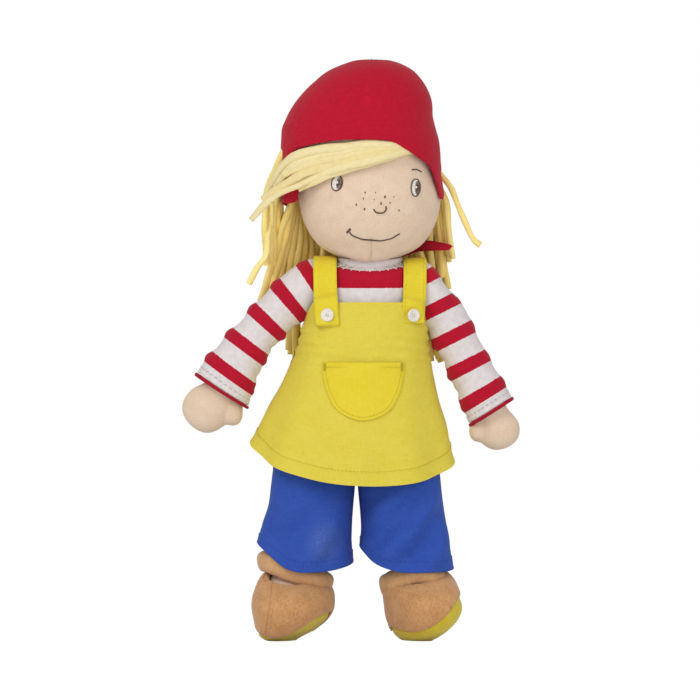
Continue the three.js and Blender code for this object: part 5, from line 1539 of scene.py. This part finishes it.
def shared_normals(pieces):
    """Gives pieces that meet along a line the normals of the whole surface there, rims left out."""
    sums = {}
    for piece, rims in pieces:
        spots = [tuple(round(c, 6) for c in v.co) for v in piece.data.vertices]
        for face in piece.data.polygons:
            if face.index not in rims:
                for corner in face.vertices:
                    sums[spots[corner]] = sums.get(spots[corner], Vector((0, 0, 0))) + face.normal
    for piece, _ in pieces:
        normals = [sums[tuple(round(c, 6) for c in v.co)].normalized() for v in piece.data.vertices]
        piece.data.normals_split_custom_set_from_vertices(normals)


def make_dress():
    halves = []
    for side, sign in SIDES.items():
        def front(u, v, lift):
            above = (1 - v) * DRESS_LENGTH
            doubled = 0.35 * bell(above - HEM_BAND, 0.9) + 0.3 * bell(above, 1.2)
            doubled += 0.25 * smooth(v, 1 - HEM_BAND / DRESS_LENGTH, 1)
            return dress_point(v, sign * u * front_reach(v), -1, lift + (doubled if lift else 0))

        def back(u, v, lift):
            down = lerp(ARMHOLE, 1, v)
            return dress_point(down, sign * SIDE_ANGLE * (1 - u), 1, lift)

        flip = side == "right"
        cloth = Cloth().shell(front, 60, 119, (0.08 * sign, 0.119), DRESS_THICK, flip=flip)
        cloth.shell(back, 60, 104, (0.08 * sign, 0.104), DRESS_THICK, (0.08 * sign, 0.015), flip)
        piece = cloth.build(f"{side}_dress_half", DRESS, None, "yellow_cotton", ["dress_front", "dress_back"])
        halves.append((piece, cloth.rims))
    shared_normals(halves)
    for side, (piece, _) in zip(SIDES, halves):
        blend_skirt(piece, side)
        cloth = Cloth()
        for facing in (-1, 1):
            def on_hem(share):
                angle = SIDES[side] * SIDE_ANGLE * share
                return dress_point(1 - HEM_BAND / dress_drop(1, angle), angle, facing, DRESS_THICK + 0.35)

            cloth.stitches(44, on_hem, 0.22)
        blend_skirt(cloth.build(f"{side}_hem_stitches", YELLOW_THREAD, None, "yellow_cotton"), side)


def front_surface(x, z, lift=0.0):
    """The point of the dress front at x and z, outside its cloth."""
    point = dress_point(0.5, 0, -1)
    down, angle = clamp((BIB_TOP - z) / DRESS_LENGTH), 0.0
    for _ in range(6):
        reach = max(1.0, front_reach(down))
        low, high = -reach, reach
        for _ in range(22):
            angle = (low + high) / 2
            point = dress_point(down, angle, -1, DRESS_THICK + lift)
            if point[0] < x:
                low = angle
            else:
                high = angle
        tilt = HEM_TILT * sin(radians(angle)) * down**2
        down = clamp((BIB_TOP - z - tilt) / dress_drop(1, angle))
    return point


POCKET_TOP = BIB_TOP - 39
POCKET_HALF, POCKET_DEEP = 27.0, 38.0
POCKET_MIDDLE = lean(POCKET_TOP) + 0.2
POCKET_ROWS = [
    [0, -POCKET_HALF, 0], [0.12, -26.4, -8], [0.26, -23, -21], [0.38, -15.5, -32.5], [0.5, 0, -POCKET_DEEP],
    [0.62, 15.5, -32.5], [0.74, 23, -21], [0.88, 26.4, -8], [1, POCKET_HALF, 0],
]


def make_pocket():
    def place(u, v, lift):
        x = lerp(lerp(-POCKET_HALF, POCKET_HALF, u), along(POCKET_ROWS, u, 1), v)
        z = lerp(0.0, along(POCKET_ROWS, u, 2), v)
        point = front_surface(POCKET_MIDDLE + x, POCKET_TOP + z, 0.35)
        sag = 0.9 * sin(pi * u) * (1 - v) ** 2
        return point - DEPTH * (sag + 0.3 + lift - 0.35 * bell(1 - v, 0.05))

    flat = (2 * POCKET_HALF * MM, POCKET_DEEP * MM)
    cloth = Cloth().shell(place, 48, 30, flat, 0.9, flip=True)
    piece = cloth.build("pocket_cotton", DRESS_DOUBLE, "torso", "yellow_cotton", ["dress_pocket"])

    def inside_edge(share):
        x, z = along(POCKET_ROWS, share, 1), along(POCKET_ROWS, share, 2)
        inside = unit(vec(-x, 0, -POCKET_DEEP / 2 - z)) * 2.3
        return front_surface(POCKET_MIDDLE + x + inside[0], POCKET_TOP + z + inside[2], 1.6)

    def below_top(share):
        return front_surface(POCKET_MIDDLE + lerp(-24.5, 24.5, share), POCKET_TOP - 3.2, 2.0)

    stitches = Cloth().stitches(62, inside_edge, 0.2, (0.12, 0.42, 0.72))
    for corner in (-1, 1):
        for k in range(7):
            z = POCKET_TOP - 0.8 - 0.75 * k
            spots = [POCKET_MIDDLE + corner * (POCKET_HALF - 1 - step) for step in (0, 0.8, 1.6)]
            stitches.tube([front_surface(x, z, 1.75) for x in spots], 0.3, 5)
    stitches.stitches(34, below_top, 0.18)
    stitches.build("pocket_stitches", YELLOW_THREAD, "torso", "yellow_cotton")


STRAP_WIDTH, STRAP_MIDDLE, STRAP_LONG, STRAP_END_ROUND = 15.0, 27.4, 130.0, 5.5
STRAP_CENTRE_Z = BIB_TOP - 9
# The strap lies on an arc over the shoulder that starts 8 mm below its centre, 26 mm out, in degrees. Its
# height over the centre is felt for on the frame's strap from outside.
STRAP_START = -degrees(asin(8 / 26))
STRAP_STOP, FELT_FROM = 188, 90


def strap_bow(v):
    """How far the strap bows outwards over the shoulder and then runs in behind, in millimetres."""
    return 2 * sin(pi * clamp(v * 1.25)) - 5 * clamp((v - 0.5) * 2)


def make_strap(side):
    sign = SIDES[side]
    solid = frame["nodes"][f"{side}_dress_strap"].data
    faces = [tuple(face.vertices) for face in solid.polygons]
    tree = BVHTree.FromPolygons([about_chest(vertex) for vertex in solid.vertices], faces)
    rows, columns = 52, 4

    def lateral(u, v):
        from_end = v * STRAP_LONG
        half = STRAP_WIDTH / 2
        if from_end < STRAP_END_ROUND:
            half *= lerp(0.45, 1, sqrt(clamp(1 - (1 - from_end / STRAP_END_ROUND) ** 2)))
        return sign * STRAP_MIDDLE + (2 * u - 1) * half + sign * strap_bow(v)

    def reach_at(i, j):
        angle = radians(lerp(STRAP_START + 1.5, STRAP_STOP - 1, j / rows))
        way = Vector((0, -cos(angle), sin(angle)))
        x = sign * STRAP_MIDDLE + (2 * clamp(i / columns, 0.04, 0.96) - 1) * STRAP_WIDTH / 2
        x += sign * strap_bow(j / rows)
        origin = Vector((x, 0, STRAP_CENTRE_Z)) + way * FELT_FROM
        hit = tree.ray_cast(origin, -way)[0]
        return None if hit is None else FELT_FROM - (hit - origin).length

    reach = [[reach_at(i, j) for i in range(columns + 1)] for j in range(rows + 1)]
    last = max(r for row in reach for r in row[:3] if r is not None)
    for row in reach:
        known = [r for r in row if r is not None]
        last = max(known) if known else last
        row[:] = [last if r is None else r for r in row]
    reach = np.array(reach)
    for j in range(10):
        even = 1 - smooth(j, 4, 9)
        reach[j] = lerp(reach[j], reach[j].mean(), even)
    for _ in range(3):
        padded = np.pad(reach, ((1, 1), (0, 0)), mode="edge")
        reach = np.maximum(reach, (padded[:-2] + padded[1:-1] + padded[2:]) / 3)

    def radius(u, v):
        i, j = clamp(u) * columns, clamp(v) * rows
        a, b = min(int(i), columns - 1), min(int(j), rows - 1)
        upper = lerp(reach[b, a], reach[b, a + 1], i - a)
        return lerp(upper, lerp(reach[b + 1, a], reach[b + 1, a + 1], i - a), j - b)

    def place(u, v, lift=0.0):
        angle = radians(lerp(STRAP_START, STRAP_STOP, v))
        way = vec(0, -cos(angle), sin(angle))
        rounded = 0.5 * abs(2 * u - 1) ** 6 + 0.6 * bell(v, 0.012)
        return vec(lateral(u, v), 0, STRAP_CENTRE_Z) + way * (radius(u, v) - 0.1 - rounded + lift)

    size = (STRAP_WIDTH * MM, STRAP_LONG * MM)
    piece = Cloth().grid(lambda u, v: place(u, v**1.3), 12, 120, size, flip=side == "right").build(
        f"{side}_strap_cotton", DRESS_DOUBLE, "torso", "yellow_cotton", [f"{side}_dress_strap"])
    thicken(piece, 1.3)
    stitches = Cloth()
    for edge in (0.12, 0.88):
        stitches.stitches(44, lambda share: place(edge, lerp(0.035, 0.95, share), 0.06), 0.16)
    stitches.stitches(7, lambda share: place(lerp(0.16, 0.84, share), 0.028, 0.06), 0.16)
    stitches.build(f"{side}_strap_stitches", YELLOW_THREAD, "torso", "yellow_cotton")


# Shares of the radius and heights in millimetres.
BUTTON_PROFILE = np.array([
    [0.0, 0.45], [0.55, 0.45], [0.66, 0.62], [0.74, 0.95], [0.86, 1.0], [0.95, 0.8], [1.0, 0.35],
    [0.97, -0.5], [0.9, -0.95],
])
BUTTON_RADIUS, BUTTON_HOLE, HOLE_RADIUS = 4.35, 0.78, 0.42


def make_button(side):
    solid = frame["nodes"][f"{side}_strap_button"].data
    corners = np.array([about_chest(vertex) for vertex in solid.vertices])
    centre = corners.mean(axis=0)
    thin = np.linalg.svd(corners - centre)[2][2]
    normal = thin if thin[1] < 0 else -thin
    side_way = unit(np.cross(UP, normal))
    up_way = unit(np.cross(normal, side_way))
    holes = [(BUTTON_HOLE * a, BUTTON_HOLE * b) for a, b in ((1, 1), (-1, 1), (-1, -1), (1, -1))]

    def place(u, v):
        angle = tau * u
        k = v * (len(BUTTON_PROFILE) - 1)
        index = min(int(k), len(BUTTON_PROFILE) - 2)
        radius, height = lerp(BUTTON_PROFILE[index], BUTTON_PROFILE[index + 1], k - index)
        x, z = cos(angle) * radius * BUTTON_RADIUS, sin(angle) * radius * BUTTON_RADIUS
        for hole in holes:
            height -= exp(-((hypot(x - hole[0], z - hole[1]) / HOLE_RADIUS) ** 4))
        return centre + side_way * x + up_way * z + normal * height

    Cloth().grid(place, 72, 48, (0.01, 0.01), wrap=True, caps=(False, True), flip=True).build(
        f"{side}_moulded_button", BUTTON, "torso", "button_plastic", [f"{side}_strap_button"])
    thread = Cloth()
    loop = ((-0.85, 0.1), (-0.5, 0.62), (0, 0.7), (0.5, 0.62), (0.85, 0.1))
    for across in (-BUTTON_HOLE - 0.18, -BUTTON_HOLE + 0.18, BUTTON_HOLE - 0.18, BUTTON_HOLE + 0.18):
        thread.tube([centre + side_way * across + up_way * z + normal * h for z, h in loop], 0.17, 6)
    thread.build(f"{side}_button_thread", WHITE_THREAD, "torso", "button_plastic")


# Trousers

SEAT_TOP, SEAT_BOTTOM = HIP_Z + 44, HIP_Z - 9
SEAT_HALF, SEAT_SQUARE, LEG_SQUARE = (52.5, 32.0), 2.15, 2.3
LEG_TOP, LEG_HEM = HIP_Z - 9.4, 50.0
# How far the hem rises at its outer and inner side.
HEM_RISES = {"right": (15.0, 2.0), "left": (-2.0, 12.0)}
# Folds across the front of each leg: depth, how many down the leg, and slant.
ACROSS_FOLDS = {"right": (2.2, 3.0, -1.6), "left": (3.2, 3.8, 2.0)}
LEG_HALF, LEG_DEEP = (27, 30), 28.5


def seat_point(angle, share, inset=0.0):
    z = lerp(SEAT_TOP, SEAT_BOTTOM, share)
    waist, layers = (SEAT_TOP - HIP_Z) / BODY_SPAN, 5.2
    widening = sin(share * pi / 2)
    wide = lerp(CHEST_HALF[0] * along(BODY_ROWS, waist, 1) + layers, SEAT_HALF[0], widening) - inset
    deep = lerp(CHEST_HALF[1] * along(BODY_ROWS, waist, 2) + layers, SEAT_HALF[1], widening) - inset
    return ring_point(angle, lean(z), z, wide, deep, SEAT_SQUARE)


def make_seat():
    def place(u, v):
        angle = tau * u
        gather = 0.5 * sin(angle * 26 + 1.5 * sin(angle * 5)) * (1 - smooth(v, 0.15, 0.8))
        return seat_point(angle, v, 0.6 - gather)

    def band(u, v):
        angle, turn = tau * u, tau * v
        rib = 0.15 * sin(angle * 70)
        down = (6 + 5.6 * sin(turn)) / (SEAT_TOP - SEAT_BOTTOM)
        return seat_point(angle, down, 2.9 - 0.9 * cos(turn) + rib)

    Cloth().grid(band, 160, 12, (0.28, 0.03), wrap=True, ring=True).build(
        "elastic_waistband", ELASTIC, "torso", "white_elastic", ["trouser_waistband"])
    piece = Cloth().grid(place, 120, 26, (0.3, 0.053), wrap=True, flip=True).build(
        "trouser_seat_cotton", BLUE, "torso", "blue_cotton", ["trouser_seat"])
    thicken(piece, 1.0)


# Share of the trouser leg's length, and how far it has widened there.
LEG_ROWS = [[0, 0], [0.25, 0.15], [0.5, 0.45], [0.78, 0.85], [1, 1]]


def trouser_point(side, angle, down):
    sign = SIDES[side]
    wide = lerp(*LEG_HALF, along(LEG_ROWS, down, 1))
    x = HIP_SHIFT + sign * (28.5 + 4.5 * down)
    point = ring_point(angle, x, lerp(LEG_TOP, LEG_HEM, down), wide, LEG_DEEP, LEG_SQUARE)
    outside = sign * (point[0] - x) / LEG_HALF[1]
    rise = HEM_RISES[side][0 if outside > 0 else 1] * outside**2
    point[2] += down * (5 * point[1] / LEG_DEEP + rise)
    return point


def make_trouser_leg(side):
    sign = SIDES[side]
    long = LEG_TOP - LEG_HEM
    fold_deep, fold_count, fold_slant = ACROSS_FOLDS[side]

    def place(u, v, proud=0.0):
        angle = tau * u
        down = lerp(-0.06, 1, v)
        point = trouser_point(side, angle, max(down, 0))
        point[2] -= min(down, 0) * long
        c, s = cos(angle) * sign, sin(angle)
        drape = 1.3 * sin(angle * 4 + down * 2.4 + sign) * smooth(down, 0.25, 0.9)
        drape += 1.0 * wobble(c * 1.5, s * 1.5, down * 2.2, 19 + sign) * smooth(down, 0.1, 0.5)
        diagonal = fold_deep * sin((down * fold_count + c * fold_slant) * pi)
        drape += diagonal * max(0, -s) * smooth(down, 0.15, 0.4) * (1 - 0.5 * smooth(down, 0.85, 1))
        drape = drape * (1 - 0.75 * max(0.0, -c) ** 2) + 1.3 * smooth(down, 0.75, 1)
        hem = 0.35 * bell((1 - down) * long, 1.0) + 0.3 * smooth(down, 0.88, 0.9)
        inward = 2.2 * max(0.0, -c) ** 3 * (1 - smooth(down, 0.1, 0.8))
        away = flat_unit(point[0] - (HIP_SHIFT + sign * 31), point[1])
        return point + away * (drape - 0.9 + hem + proud + inward)

    piece = Cloth().grid(place, 110, 70, (0.185, 0.065), wrap=True, flip=True).build(
        f"{side}_trouser_leg_cotton", BLUE_WASHED if side == "right" else BLUE, None, "blue_cotton",
        [f"{side}_trouser_leg"])
    hip = leg_pivot(side)
    start, end = world((hip[0], 0, HIP_Z + 2)), world((hip[0], 0, HIP_Z - 26))
    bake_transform(piece)
    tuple(start)
    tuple(end)
    thicken(piece, 1.0)
    stitches = Cloth().stitches(70, lambda share: place(share, 0.9, 0.1), 0.18, (0.1, 0.35, 0.6))
    row = stitches.build(f"{side}_trouser_stitches", BLUE_THREAD, None, "blue_cotton")
    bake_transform(row)
    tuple(start)
    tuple(end)


# Everything

for make in (make_torso, make_neck, make_shirt, make_neckband, make_head, make_eyes, make_face_lines,
             make_scarf, make_knot, make_tails, make_side_hair, make_back_hair, make_fringe):
    make()
for doll_side in SIDES:
    for make in (make_arm, make_sleeve, make_cuff, make_leg, make_shoe, make_shoe_strap, make_trouser_leg,
                 make_button, make_strap):
        make(doll_side)
for make in (make_seat, make_dress, make_pocket):
    make()

# Floor, light and camera

scene = bpy.context.scene
scene.view_settings.view_transform = "Standard"
WHITE = (1, 1, 1, 1)


def make_floor():
    """Matt white paper, seen almost as bright as the backdrop, with the doll's shadow left on it."""
    material, tree, shader = new_finish("white_paper", 0.9, 0.0, 0.1)
    shader.inputs["Base Color"].default_value = colour("FAFAFA")
    glow = add_node(tree, "Emission", {"Color": WHITE, "Strength": 1.06})
    seen = add_node(tree, "LightPath", out="Is Camera Ray")
    share = add_node(tree, "Math", {0: seen, 1: 0.93}, operation="MULTIPLY")
    paper = add_node(tree, "MixShader", {0: share, 1: shader.outputs[0], 2: glow})
    tree.links.new(paper, tree.nodes["Material Output"].inputs["Surface"])
    mesh = bpy.data.meshes.new("floor")
    size = 6.0
    corners = [(-size, -size, 0), (size, -size, 0), (size, size, 0), (-size, size, 0)]
    mesh.from_pydata(corners, [], [(0, 1, 2, 3)])
    floor = bpy.data.objects.new("floor", mesh)
    scene.collection.objects.link(floor)
    mesh.materials.append(material)


def make_backdrop(strength):
    """White where the camera sees it, and softer as light on the doll."""
    studio = bpy.data.worlds.new("studio")
    scene.world = studio
    studio.use_nodes = True
    tree = studio.node_tree
    tree.nodes["Background"].inputs["Color"].default_value = WHITE
    tree.nodes["Background"].inputs["Strength"].default_value = strength
    plain = add_node(tree, "Background", {"Color": WHITE, "Strength": 1.0})
    camera_ray = add_node(tree, "LightPath", out="Is Camera Ray")
    clear_ray = add_node(tree, "LightPath", out="Is Transmission Ray")
    seen = add_node(tree, "Math", {0: camera_ray, 1: clear_ray}, operation="MAXIMUM")
    both = add_node(tree, "MixShader", {0: seen, 1: tree.nodes["Background"].outputs[0], 2: plain})
    tree.links.new(both, tree.nodes["World Output"].inputs["Surface"])


def make_lamp(name, spot, target, size, watts):
    data = bpy.data.lights.new(name, "AREA")
    data.shape = "DISK"
    data.size = size
    data.energy = watts
    lamp = bpy.data.objects.new(name, data)
    scene.collection.objects.link(lamp)
    lamp.location = spot
    lamp.rotation_mode = "QUATERNION"
    lamp.rotation_quaternion = (Vector(target) - Vector(spot)).to_track_quat("-Z", "Y")


def make_camera(sensor=36):
    """Level with the doll's waist, and far off for the picture's flat look."""
    data = bpy.data.cameras.new("camera")
    camera = bpy.data.objects.new("camera", data)
    scene.collection.objects.link(camera)
    data.sensor_width = sensor
    data.lens = sensor * CAMERA_AWAY / (PICTURE_SIZE * PIXEL)
    camera.location = world((CAMERA_X, -CAMERA_AWAY, CAMERA_Z))
    camera.rotation_mode = "QUATERNION"
    camera.rotation_quaternion = Vector((0, 1, 0)).to_track_quat("-Z", "Y")
    data.clip_start, data.clip_end = 0.5, 80
    scene.camera = camera


make_floor()
make_backdrop(0.56)
make_lamp("key_light", (-0.75, -1.2, 1.15), (0, 0, 0.2), 0.9, 8)
make_lamp("fill_light", (0.7, -1.6, 0.6), (0, 0, 0.2), 1.0, 6)
make_camera()
